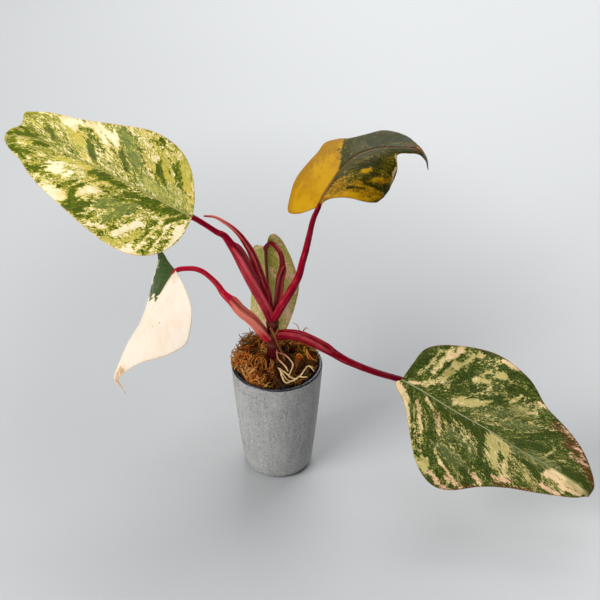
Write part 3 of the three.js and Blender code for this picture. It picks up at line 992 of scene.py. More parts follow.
@dataclass
class Petiole:
    """A leaf's stalk: grooved between two wings along its sheath, and round above it."""

    name: str
    path: list[Point]
    radius: list[float]
    sheath_end: float
    wing: float
    inner: Point
    blade: LeafBlade
    finish: StalkFinish
    salmon: float = 0.6
    wash: float = 0.1
    dark_from: float = 0.6
    steps: int = 220
    sides: int = 56
    ear_height: float = 0.42
    ear_turn: float = 0.6
    ear_spread: float = 0.28
    groove: float = 0.45
    groove_spread: float = 0.35
    end_spread: float = 0.04
    reach: float = 8.0

    def build(self) -> bpy.types.Object:
        """Makes the dressed stalk, which runs on under its blade.

        Returns:
            The new object.
        """
        face = unit(np.array(self.blade.face[0], float))
        end = tuple(np.array(self.blade.midrib[0]) - face * self.radius[-1] * 0.9)
        rib = self.blade.place(np.array([self.reach]), np.array([0.0]))[0]
        shown = Curve([*self.path, end]).length
        curve = Curve([*self.path, end, tuple(rib - face * self.radius[-1] * 0.8)])
        whole, angle = tube_grid(self.steps, self.sides)
        run = whole * curve.length
        t = np.minimum(run / shown, 1)
        turn = np.minimum(angle, FULL_TURN - angle)
        grown = 0.75 + 0.4 * (t / self.sheath_end) ** 4
        opened = np.where(t < self.sheath_end, grown, hump(t - self.sheath_end, self.end_spread))
        ears = self.ear_height * hump(turn - self.ear_turn, self.ear_spread)
        groove = self.groove * hump(turn, self.groove_spread)
        thin = 1 - 0.5 * smoothstep(run, shown, curve.length)
        radius = thin * spline(self.radius, t) * (1 + self.wing * opened * (ears - groove))
        radius = radius * (1 + 0.02 * grain(t * curve.length / 9, 3 * angle / math.pi, 5))
        skin = sweep(curve, spline3([self.inner, self.blade.face[0]], t[:, 0]), radius)
        sheath = np.clip(opened, 0, 1)
        edge = self.wing * sheath * hump(turn - self.ear_turn - 0.1, 0.4) * self.salmon
        above_foot = smoothstep(t, 0.02, 0.2)
        washed = smoothstep(-t, -self.sheath_end - 0.05, -self.sheath_end + 0.12) * above_foot
        # The dark share: the stalk darkens towards its blade, and painted shade lies in the sheath's groove.
        top = 0.55 * smoothstep(run, self.dark_from * shown, shown)
        groove_shade_and_dark_top = 0.4 * sheath * hump(turn, 0.25) + top
        skin.values["tint"] = tube_tint(radius.shape, np.clip(edge + self.wash * washed, 0, 1), groove_shade_and_dark_top)
        return skin.build(f"{self.name}_stalk", self.name, self.finish.material(f"{self.name}_skin"))


@dataclass
class NewLeaf:
    """The young leaf, rolled up: its outer edge laps over the roll and leaves a step down its length."""

    path: list[Point] = field(default_factory=lambda: [
        (-5, 6, 157), (-8, 5.5, 181), (-12, 4.5, 195), (-16, 3, 210), (-20, 1, 225), (-25, 0, 236),
        (-30, -1, 245), (-36, -1, 252), (-43, 0, 257), (-50, 2, 260), (-59, 5, 259)])
    radius: list[float] = field(default_factory=lambda: [2.8, 3.6, 4, 4.2, 4, 3.4, 2.6, 1.9, 1.4, 0.7])
    lap_start: float = 0.88
    lap_step: float = 0.2
    inner: Point = (0.5, -0.9, 0)
    steps: int = 240
    sides: int = 64

    def build(self, finish: StalkFinish) -> bpy.types.Object:
        """Makes the dressed young leaf.

        Args:
            finish: its skin.

        Returns:
            The new object.
        """
        t, angle = tube_grid(self.steps, self.sides)
        radius = spline(self.radius, t) * (self.lap_start + self.lap_step * angle / FULL_TURN)
        radius = radius * (1 + 0.015 * grain(t * 40, angle * 2, 3))
        skin = sweep(Curve(self.path), self.inner, radius)
        lap = hump(FULL_TURN - angle, 0.5)
        flush = np.clip(0.75 * smoothstep(t, 0.62, 0.95) + 0.8 * lap * (0.4 + 0.6 * t), 0, 1)
        # Painted shade runs along the foot of the step, under the lapping edge, as the dark share.
        skin.values["tint"] = tube_tint(radius.shape, flush, 0.75 * hump(angle - 0.1, 0.22))
        return skin.build("new_leaf_roll", "new_leaf", finish.material("new_leaf_skin"))


@dataclass
class Stem:
    """The short upright stem, ringed by leaf scars."""

    path: list[Point] = field(default_factory=lambda: [
        (-3, 0, 84), (-3.5, 0, 118), (-3.5, 1, 138), (-3.5, 2, 150), (-3.5, 3, 160)])
    radius: float = 5.2
    scars: tuple[float, ...] = (0.62, 0.76, 0.9)
    ring_height: float = 0.09
    ring_spread: float = 0.03
    shoulder_start: float = 0.94
    shoulder_length: float = 0.08
    steps: int = 200
    sides: int = 72
    bark: CoarseFinish = CoarseFinish(
        ((0.3, linear(28, 2, 4)), (0.5, linear(88, 8, 16)), (0.72, linear(128, 28, 26))),
        size=(0.5, 2.0, 0.2), rough=(0.42, 0.68), relief=0.0006, bump=0.9, patch=linear(142, 84, 60),
        patch_share=0.6)

    def build(self) -> bpy.types.Object:
        """Makes the dressed stem.

        Returns:
            The new object.
        """
        t, angle = tube_grid(self.steps, self.sides)
        rings = sum(hump(t - scar, self.ring_spread) for scar in self.scars)
        past = np.clip(t - self.shoulder_start, 0, None) / self.shoulder_length
        radius = self.radius * (1 + self.ring_height * rings) * np.sqrt(np.clip(1 - past ** 2, 0.1, None))
        radius = radius * (1 + (0.03 * grain(t * 60, angle * 1.6, 8) + 0.02 * grain(t * 22, angle * 5, 9)))
        skin = sweep(Curve(self.path), (0, -1, 0), radius)
        skin.values["tint"] = tube_tint(radius.shape, 0.6 * rings, 0.5)
        return skin.build("stem_core", "stem", self.bark.material("stem_bark"))


@dataclass
class SurfaceRoots:
    """Pale roots that leave the stem and lie on the moss."""

    strands: list[list[Point]] = field(default_factory=lambda: [
        [(-1, -3, 127), (1, -3, 122), (7, -1, 118), (13, -7, 115), (14, -12, 114), (12, -19, 113),
         (10, -25, 112)],
        [(0, -4, 124), (1, -6, 118), (4, -9, 116), (8, -14, 114.5), (10, -19, 113.5)],
        [(3, -17, 115), (5, -25, 112), (8, -30, 110), (13, -28, 110), (16, -26, 110.5), (21, -21, 111),
         (25, -13, 112), (28, -9, 112), (33, -11, 111)],
        [(2, -17, 115), (7, -20, 113.5), (14, -25, 111), (18, -24.5, 110.5)],
        [(19, -22.5, 111), (23, -23, 110.5), (27, -22, 110)],
        [(2.5, -18, 115.6), (6, -23.5, 113.6), (9, -27.5, 111.6), (14, -29.2, 111), (19, -25.5, 111.4)],
        [(1, -15.5, 115), (3.5, -18.5, 114.6), (8, -21, 113.4), (12, -26, 111.6)],
        [(28, -9.4, 112.4), (31, -13, 111.8), (32.5, -16, 111)]])
    fine_from: int = 5
    fine_share: float = 0.55
    pink_strands: int = 2
    radius: float = 0.85
    taper: float = 0.35
    lift: float = 1.2
    inner: Point = (0.3, 0.2, 1)
    steps: int = 90
    sides: int = 14
    skin: CoarseFinish = CoarseFinish(
        ((0.3, linear(142, 88, 44)), (0.45, linear(222, 182, 120)), (0.7, linear(255, 234, 190))),
        size=(0.35, 2.2, 1), rough=(0.55, 0.8), relief=0.0003, patch=linear(214, 120, 104))

    def curves(self) -> list[Curve]:
        """The strands' centre lines, lifted clear of the moss."""
        return [Curve([(x, y, z + self.lift) for x, y, z in strand]) for strand in self.strands]

    def build(self) -> bpy.types.Object:
        """Makes the dressed roots as one piece.

        Returns:
            The new object.
        """
        whole = None
        t, angle = tube_grid(self.steps, self.sides)
        for k, curve in enumerate(self.curves()):
            knobs = 1 + 0.14 * grain(t * 26 + 9 * k, angle, 12) + 0.08 * grain(t * 60, angle * 2, 13)
            thick = self.radius * (self.fine_share if k >= self.fine_from else 1.0)
            radius = thick * (1 - self.taper * t) * knobs * np.sqrt(np.clip(1.02 - t ** 14, 0, 1))
            strand = sweep(curve, self.inner, radius)
            pink = 0.85 * smoothstep(-t, -0.9, -0.1) * (k < self.pink_strands)
            strand.values["tint"] = tube_tint(radius.shape, pink, 0.15 * k)
            whole = whole.joined(strand) if whole else strand
        return whole.build("root_strands", "surface_roots", self.skin.material("root_skin"))


@dataclass
class DriedSheath:
    """The papery forked strip in front of the stem."""

    arms: list[list[Point]] = field(default_factory=lambda: [
        [(-5.2, -4.4, 151.2), (-3.1, -5, 147.1), (-1.4, -5.8, 142.8), (0.7, -6.8, 136.5), (2.9, -8, 130.9),
         (5.5, -9, 126.1), (7, -10, 121)],
        [(2.1, -4.4, 150.2), (0, -5, 146.5), (-1.4, -5.8, 142.8), (-0.2, -6.4, 138.5)]])
    width: float = 1.15
    thickness: float = 0.5
    taper: float = 0.6
    inner: Point = (0.2, -1, 0.1)
    steps: int = 90
    sides: int = 36
    paper: CoarseFinish = CoarseFinish(
        ((0.32, linear(80, 36, 12)), (0.5, linear(148, 88, 38)), (0.7, linear(208, 152, 88))),
        size=(0.12, 5, 0.4), rough=(0.6, 0.85), relief=0.0005, noise_rough=0.7, bump=0.9, shine=0.15)

    def build(self) -> bpy.types.Object:
        """Makes the dressed strip.

        Returns:
            The new object.
        """
        t, angle = tube_grid(self.steps, self.sides)
        fray = 1 + 0.2 * grain(t * 30, np.sign(np.sin(angle)) + 4, 21)
        reach = self.width * (1 - self.taper * t) * fray
        pleat = 1 + 0.18 * np.cos(angle * 9 + 3 * t)
        radius = 1 / np.hypot(np.cos(angle) / (self.thickness * pleat), np.sin(angle) / reach)
        first, second = (sweep(Curve(arm), self.inner, radius) for arm in self.arms)
        return first.joined(second).build("dried_strip", "dried_sheath", self.paper.material("dry_paper"))


class Fibre(Enum):
    """The colours that moss strands dry to."""

    GOLD = linear(244, 160, 74)
    RUST = linear(222, 96, 10)
    BROWN = linear(166, 92, 26)
    DARK = linear(60, 26, 6)
    OLIVE = linear(168, 128, 36)
    STRAW = linear(255, 200, 118)


@dataclass
class Tuft:
    """A place where the moss stands up in loose curls: its middle, spread, strand count and colours."""

    x: float
    y: float
    base: float
    spread: float
    count: int
    length: float
    steep: float
    fibres: tuple[Fibre, ...]


@dataclass(frozen=True)
class FibreFinish(Finish):
    """Dry fibres in their own colours, with darker joints along them."""

    joint: Colour = linear(96, 44, 8)
    joint_cover: float = 0.45
    relief: float = 0.0004
    shine: float = 0.12

    def dress(self, sheet: NodeSheet) -> dict[str, object]:
        """Adds the nodes.

        Args:
            sheet: where they go.

        Returns:
            The shader's inputs.
        """
        joints = sheet.attribute("tube").noise(0.9, 3, 0.65)
        share = joints.eased(0.4, 0.7, 0.0, self.joint_cover)
        colour = sheet.mix(share, sheet.attribute("tint", "Color"), self.joint)
        return dict(Base_Color=colour, Roughness=joints.eased(0.3, 0.7, 0.55, 0.9),
                     Normal=sheet.bump(joints, self.relief, 0.8), Specular_IOR_Level=self.shine)


@dataclass
class MossBed:
    """Damp moss that fills the pot: a lumpy mound, thousands of curled strands in locks, and loose tufts."""

    roots: SurfaceRoots
    edge: float = 108
    crown: float = 119
    floor: float = 18
    lump: float = 1.5
    rim_radius: float = 40
    reach: float = 35.7
    foot_reach: float = 26.5
    rings: int = 90
    sides: int = 200
    locks: int = 380
    strands: int = 4250
    strand_steps: int = 7
    strand_length: tuple[float, float] = (6, 16)
    strand_radius: tuple[float, float] = (0.25, 0.62)
    tuft_radius: tuple[float, float] = (0.22, 0.5)
    rim_gap: float = 0.4
    clearance: float = 2.2
    hollows: tuple[Point, ...] = (
        (-20, 6, 5), (10, 7, 7), (30, -13, 4.5), (1, -32, 5), (14, -31, 5), (-9, -12, 3))
    hollow_drop: float = 2.4
    brightest: float = 0.95
    corners: tuple[float, ...] = (0.5, 2.6, 4.7)
    seed: int = 4
    tufts: list[Tuft] = field(default_factory=lambda: [
        Tuft(-31, -3, 112, 3.6, 260, 9, 1.0, (Fibre.GOLD, Fibre.GOLD, Fibre.STRAW, Fibre.GOLD)),
        Tuft(-30, 9, 112, 3.2, 110, 10, 1.0, (Fibre.GOLD, Fibre.BROWN, Fibre.STRAW)),
        Tuft(-22, 23, 114, 4, 150, 12, 1.1, (Fibre.BROWN, Fibre.GOLD, Fibre.OLIVE, Fibre.GOLD)),
        Tuft(-8, 28, 113, 4, 60, 9, 0.8, (Fibre.BROWN, Fibre.OLIVE, Fibre.STRAW)),
        Tuft(21, 28, 114, 1.3, 16, 15, 1.5, (Fibre.STRAW, Fibre.GOLD)),
        Tuft(30, 12, 111, 3, 60, 8, 0.7, (Fibre.OLIVE, Fibre.STRAW, Fibre.BROWN)),
        Tuft(-16, -22, 112, 3.4, 70, 9, 0.7, (Fibre.RUST, Fibre.GOLD)),
        Tuft(-5, -27, 110, 2.4, 24, 12, 0.6, (Fibre.STRAW, Fibre.OLIVE)),
    ])
    # The mound is nearly black: partly its own damp dark colour, and partly painted shade for the gaps
    # between the strands.
    crumbs: CoarseFinish = CoarseFinish(
        ((0.36, linear(8, 4, 2)), (0.6, linear(24, 10, 4)), (0.8, linear(84, 44, 16))), size=(900, 900, 900),
        rough=(0.7, 0.95), relief=0.0012, noise_rough=0.7, bump=1.0, shine=0.5, on_tube=False)
    fibres: FibreFinish = FibreFinish()

    def height(self, x: np.ndarray, y: np.ndarray) -> np.ndarray:
        """Finds the top of the mound.

        Args:
            x, y: the places in plan.

        Returns:
            The heights over them.
        """
        r = np.hypot(x, y) / self.rim_radius
        lumps = np.sin(x / 2.9 + 0.7 * np.sin(y / 4)) + np.sin(y / 2.6 + x / 7) + np.sin((x + y) / 5.3)
        return self.edge + (self.crown - self.edge) * (1 - r * r) + self.lump * lumps

    def depth(self, x: np.ndarray, y: np.ndarray) -> np.ndarray:
        """How deep a place in plan lies in one of the hollows, from 0 to about 1. The hollows are darkened
        with painted shade.
        """
        return sum(hump(np.hypot(x - hx, y - hy), size) for hx, hy, size in self.hollows)

    def under_roots(self, x: np.ndarray, y: np.ndarray, z: np.ndarray) -> np.ndarray:
        """Keeps heights below the roots that lie on the moss.

        Args:
            x, y, z: the points.

        Returns:
            Their heights, lowered near a root.
        """
        t = np.linspace(0.15, 1, 26)
        spots = np.concatenate([curve.point(t) for curve in self.roots.curves()])
        gap = np.hypot(x[..., None] - spots[:, 0], y[..., None] - spots[:, 1])
        limit = spots[:, 2] - 0.9 + 0.9 * np.maximum(gap - self.clearance, 0)
        return np.minimum(z, limit.min(-1))

    def mound(self) -> bpy.types.Object:
        """Makes the mound under the strands.

        Returns:
            The new object.
        """
        sides, side = self.sides, np.arange(self.sides)
        beyond = (side + 1) % sides
        share, angle = tube_grid(self.rings, sides)
        x, y = (self.reach * share * turn for turn in (np.cos(angle), np.sin(angle)))
        rough = 1.1 * grain(x / 2.3, y / 2.3, 31) + 0.6 * grain(x, y, 32) - 1.6
        z = self.under_roots(x, y, self.height(x, y) + rough - 2.5 * self.depth(x, y))
        foot = self.foot_reach / self.reach
        wall = np.stack([foot * x[-1], foot * y[-1], np.full(sides, self.floor)], -1)
        points = np.concatenate([np.stack([x, y, z], -1).reshape(-1, 3), wall, [[0, 0, self.floor]]])
        faces = ring_faces(self.rings + 1, sides)[:, [0, 3, 2, 1]]
        faces[:sides] = cap_faces(0, sides + side, sides + beyond)
        base = (self.rings + 1) * sides
        under = cap_faces(len(points) - 1, base + beyond, base + side)
        skin = Skin(points, np.concatenate([faces, under])).trimmed()
        return skin.build("moss_mound", "moss", self.crumbs.material("moss_dark"))

    @staticmethod
    def shares(x: float, y: float) -> list[float]:
        """Says how likely each fibre colour is.

        Args:
            x, y: the place in plan.

        Returns:
            One share for each colour, in the order of Fibre.
        """
        if x < -16:
            return [0.46, 0.12, 0.2, 0.04, 0.02, 0.16]
        if y > 12:
            return [0.08, 0.12, 0.4, 0.16, 0.2, 0.04]
        if x < 4:
            return [0.14, 0.26, 0.34, 0.16, 0.06, 0.04]
        return [0.1, 0.06, 0.4, 0.1, 0.24, 0.1]

    def laid(self, random: np.random.Generator) -> tuple[np.ndarray, np.ndarray, np.ndarray]:
        """The strands that lie on the mound in locks, each with its own heading, bow, height and colour.

        Args:
            random: the source of chance.

        Returns:
            The strands' points, their radii and their colours.
        """
        n, m = self.strands, self.strand_steps
        colours = np.array([fibre.value for fibre in Fibre])
        spread = (self.reach - 1) * np.sqrt(random.random(self.locks))
        bearing = random.uniform(0, FULL_TURN, self.locks)
        homes = np.stack([spread * np.cos(bearing), spread * np.sin(bearing)], -1)
        kinds = np.array([random.choice(len(colours), p=self.shares(x, y)) for x, y in homes])
        headings = random.uniform(0, FULL_TURN, self.locks)
        bows = random.normal(0, 2.4, self.locks)

        # Locks lie high by the rim and low in a hollow. Each has its own random brightness; low ones and
        # those in a hollow get painted shade, and those on the left are brighter.
        sunk = np.clip(self.depth(homes[:, 0], homes[:, 1]), 0, 1)
        lifts = random.uniform(-2.2, 2.6, self.locks) + 1.8 * smoothstep(spread, 27, 34) - 3 * sunk
        lock_tone_and_shade = random.uniform(0.4, 1.35, self.locks) * np.where(lifts < -1, 0.45, 1.0) * (1 - 0.85 * sunk)
        lock_tone_and_shade = lock_tone_and_shade * (1 + 0.5 * smoothstep(-homes[:, 0], 20, 28))

        # Each strand follows its lock, with a start, heading, length and bow that are a little its own.
        pick = random.integers(0, self.locks, n)
        home = homes[pick] + random.normal(0, 1.5, (n, 2))
        heading = (headings[pick] + random.normal(0, 0.4, n))[:, None]
        length = random.uniform(*self.strand_length, n)[:, None]
        bow = (bows[pick] + random.normal(0, 0.9, n))[:, None]
        rise = random.random(n)
        s = np.linspace(-0.5, 0.5, m)[None]
        turn, step = heading + bow * s, length / (m - 1)
        x = home[:, :1] + np.cumsum(np.cos(turn) * step, 1) - 0.5 * length * np.cos(heading)
        y = home[:, 1:] + np.cumsum(np.sin(turn) * step, 1) - 0.5 * length * np.sin(heading)
        squeeze = np.minimum(1, (self.reach - self.rim_gap) / np.maximum(np.hypot(x, y), 1e-6))
        x, y = x * squeeze, y * squeeze
        arch = (1 - (2 * s) ** 2) * (0.3 + 3.2 * rise[:, None] ** 2)
        ruffle = 0.8 * grain(x / 2 + 3 * pick[:, None], y / 2, 41)
        z = self.height(x, y) + arch + ruffle - 1.2 + (lifts[pick] * (0.4 + 0.6 * rise))[:, None]
        # Painted shade: a strand that rises little lies low among the others and is darkened.
        strand_tone_and_shade = lock_tone_and_shade[pick] * random.uniform(0.6, 1.4, n) * (0.05 + 1.3 * rise ** 2)
        shade = colours[kinds[pick]] * strand_tone_and_shade[:, None]
        return np.stack([x, y, z], -1), random.uniform(*self.strand_radius, n), shade

    def loose(self, random: np.random.Generator) -> tuple[np.ndarray, np.ndarray, np.ndarray]:
        """The strands that stand up in tufts and droop at their ends.

        Args:
            random: the source of chance.

        Returns:
            The strands' points, their radii and their colours.
        """
        spines, radii, shades = [], [], []
        s = np.linspace(0, 1, self.strand_steps)[None]
        for tuft in self.tufts:
            n = tuft.count
            start = np.array([tuft.x, tuft.y]) + random.normal(0, tuft.spread, (n, 2))
            outward = math.atan2(tuft.y, tuft.x)
            heading = (outward + random.normal(0, 1.5, n))[:, None] + random.normal(0, 2.2, (n, 1)) * s
            pitch = random.uniform(0.2, tuft.steep, n)[:, None] - random.uniform(0.2, 2.2, (n, 1)) * s
            step = (tuft.length * random.uniform(0.6, 1.2, n) / (self.strand_steps - 1))[:, None]
            x = start[:, :1] + np.cumsum(np.cos(pitch) * np.cos(heading) * step, 1)
            y = start[:, 1:] + np.cumsum(np.cos(pitch) * np.sin(heading) * step, 1)
            z = tuft.base + random.uniform(-1, 2.5, (n, 1)) + np.cumsum(np.sin(pitch) * step, 1)
            spines.append(np.stack([x, y, z], -1))
            radii.append(random.uniform(*self.tuft_radius, n))
            colours = np.array([tuft.fibres[k].value for k in random.integers(0, len(tuft.fibres), n)])
            shades.append(colours * random.uniform(0.6, 1.5, (n, 1)))
        return np.concatenate(spines), np.concatenate(radii), np.concatenate(shades)

    def settled(self, spine: np.ndarray, shade: np.ndarray) -> tuple[np.ndarray, np.ndarray]:
        """Keeps the strands inside the rim, under the roots and down in the hollows, and paints shade on
        those in a hollow and those pressed down under a root.

        Args:
            spine: the strands' points.
            shade: their colours.

        Returns:
            The points and the colours.
        """
        x, y, z = spine[..., 0], spine[..., 1], spine[..., 2]
        limit = self.reach - self.rim_gap + 1.7 * np.clip(z - 110.4, 0, 3)
        squeeze = np.minimum(1, limit / np.maximum(np.hypot(x, y), 1e-6))
        x, y = x * squeeze, y * squeeze
        shade = shade / np.maximum(shade.max(-1, keepdims=True) / self.brightest, 1)
        sunk = np.clip(self.depth(x, y), 0, 1)
        dropped = z - self.hollow_drop * sunk
        low = self.under_roots(x, y, dropped)
        # Painted shade: strands in a hollow and strands pressed down under the roots are darkened.
        shade = shade * (1 - 0.8 * sunk.mean(-1))[:, None]
        shade = shade * (1 - 0.68 * smoothstep((dropped - low).mean(-1), 0.3, 2.0))[:, None]
        return np.stack([x, y, low], -1), shade

    def curls(self) -> bpy.types.Object:
        """Makes all strands as one piece of thin three-sided fibres.

        Returns:
            The new object.
        """
        random = np.random.default_rng(self.seed)
        parts = [self.laid(random), self.loose(random)]
        spine, radius, shade = (np.concatenate([part[k] for part in parts]) for k in range(3))
        spine, shade = self.settled(spine, shade)
        along = unit(np.gradient(spine, axis=1))
        side = unit(np.cross(along, np.array([0.2, 0.1, 1.0])))
        over = np.cross(side, along)
        n, m = spine.shape[:2]
        size = m * len(self.corners)
        s = np.linspace(-1, 1, m)[None]
        thin = radius[:, None] * (1 - 0.75 * np.abs(s) ** 3)
        corners = np.array(self.corners)[:, None]
        rings = spine[:, :, None] + thin[..., None, None] * (
            side[:, :, None] * np.cos(corners) * 1.25 + over[:, :, None] * np.sin(corners) * 0.8)
        tip = np.arange(n) * size
        faces = (ring_faces(m - 1, 3) + tip[:, None, None]).reshape(-1, 4)
        far = tip + size - 3
        caps = [np.stack([tip + 2, tip + 1, tip, tip], -1), np.stack([far, far + 1, far + 2, far + 2], -1)]
        run = np.broadcast_to(8.0 * s[..., None], (n, m, 3)).reshape(-1)
        tube = np.stack([run, np.tile(self.corners, n * m), np.repeat(random.random(n) * 50, size)], -1)
        values = {"tint": np.repeat(shade, size, axis=0), "tube": tube}
        skin = Skin(rings.reshape(-1, 3), np.concatenate([faces, *caps]), values)
        return skin.build("moss_curls", "moss", self.fibres.material("moss_fibre"))


@dataclass(frozen=True)
class StonewareFinish(Finish):
    """Grey stoneware with specks and faint vertical streaks, and a dark glaze over the lip."""

    lip: float
    body: Stops = ((0.34, linear(126, 126, 125)), (0.5, linear(172, 172, 170)), (0.66, linear(202, 201, 198)))
    glaze: Stops = ((0.4, linear(34, 35, 41)), (0.62, linear(78, 78, 84)), (0.78, linear(140, 120, 96)))
    speck: Colour = linear(128, 76, 50)
    relief: float = 0.0005

    def dress(self, sheet: NodeSheet) -> dict[str, object]:
        """Adds the nodes.

        Args:
            sheet: where they go.

        Returns:
            The shader's inputs.
        """
        place = sheet.place()
        height = place.axes()[2] * 1000
        grains = place.noise((600, 600, 480), 4, 0.72)
        streaks = place.noise((300, 300, 22), 4, 0.6)
        clouds = place.noise((45, 45, 45), 3, 0.5)
        spots = place.noise((520, 520, 520), 2, 0.5) + height.eased(self.lip - 9, self.lip - 2, 0.0, 0.06)
        colour = sheet.ramp(grains * 0.62 + streaks * 0.2 + clouds * 0.18, self.body)
        colour = sheet.mix(spots.eased(0.69, 0.74, 0.0, 0.6), colour, self.speck)
        outer = (height + (streaks - 0.5) * 0.9).eased(self.lip - 1.5, self.lip - 0.9)
        glazed = outer.most(1.0 - sheet.attribute("wall").axes()[2])
        colour = sheet.mix(glazed, colour, sheet.ramp(grains, self.glaze))
        normal = sheet.bump(grains * 0.7 + streaks * 0.5, self.relief, 0.8)
        return dict(Base_Color=colour, Roughness=glazed.eased(0.0, 1.0, 0.78, 0.16),
                     Metallic=glazed * 0.5, Normal=normal, Specular_IOR_Level=0.5)


@dataclass
class StonewarePot:
    """A small tapered pot of matt stoneware, with a rounded foot and a dark glazed lip."""

    height: float = 110
    rim_radius: float = 40
    base_radius: float = 30.5
    wall: float = 4
    floor: float = 8
    foot_round: float = 7
    belly: float = 0.8
    sides: int = 220
    base_points: int = 6
    foot_points: int = 12
    side_points: int = 60
    lip_points: int = 14
    outer_lip_points: int = 9
    inner_points: int = 20

    @staticmethod
    def bend(start: np.ndarray, pull: np.ndarray, end: np.ndarray, count: int) -> np.ndarray:
        """A quadratic bend in the section, without its first point."""
        t = np.linspace(0, 1, count + 1)[1:, None]
        return (1 - t) ** 2 * start + 2 * t * (1 - t) * pull + t ** 2 * end

    def profile(self) -> np.ndarray:
        """Draws half of the pot's section.

        Returns:
            Points from the middle of the base, up the outside, over the lip and down to the floor.
        """
        lip, top = self.wall / 2, self.rim_radius
        slope = (top - self.base_radius) / self.height
        inside = self.base_radius - self.wall
        foot, heel, side, waist, neck, inner, corner = np.array([
            (self.base_radius - self.foot_round, 0),
            (self.base_radius, 0),
            (self.base_radius + slope * self.foot_round, self.foot_round),
            ((self.base_radius + top) / 2 + 2 * self.belly, self.height / 2),
            (top, self.height - lip),
            (inside + slope * self.floor, self.floor + self.foot_round),
            (inside - self.foot_round / 2, self.floor),
        ])
        arc = np.linspace(0, math.pi, self.lip_points + 1)[1:]
        lip_round = np.stack([top - lip + lip * np.cos(arc), self.height - lip + lip * np.sin(arc)], -1)
        last = lip_round[-1]
        return np.concatenate([
            np.stack([np.linspace(0, foot[0], self.base_points), np.zeros(self.base_points)], -1),
            self.bend(foot, heel, side, self.foot_points), self.bend(side, waist, neck, self.side_points),
            lip_round, self.bend(last, (last + inner) / 2, inner, self.inner_points),
            [corner, (0, self.floor)]])

    def build(self) -> bpy.types.Object:
        """Makes the dressed pot.

        Returns:
            The new object.
        """
        profile = self.profile()
        rings, sides = len(profile), self.sides
        _, angle = tube_grid(rings - 1, sides)
        r, z = profile[:, :1], profile[:, 1:]
        hand = r * (1 + 0.0012 * grain(z / 9 + 0 * angle, 3 * angle / math.pi, 51))
        x, y = hand * np.cos(angle), hand * np.sin(angle)
        run = np.concatenate([[0], np.cumsum(np.linalg.norm(np.diff(profile, axis=0), axis=1))])[:, None]
        outer_rings = self.base_points + self.foot_points + self.side_points + self.outer_lip_points
        outside = (np.arange(rings) < outer_rings)[:, None] * 1.0
        points, wall = (np.stack(np.broadcast_arrays(*parts), -1).reshape(-1, 3)
                        for parts in ((x, y, z), (run, angle * 36, outside)))
        faces = ring_faces(rings - 1, sides)
        last = (rings - 1) * sides
        faces[faces < sides] = 0
        faces[faces >= last] = last
        faces, slots = tidy_faces(faces, np.zeros(len(faces)))
        skin = Skin(points, faces, {"wall": wall}, slots).trimmed()
        return skin.build("pot_body", "pot", StonewareFinish(self.height).material("stoneware"))
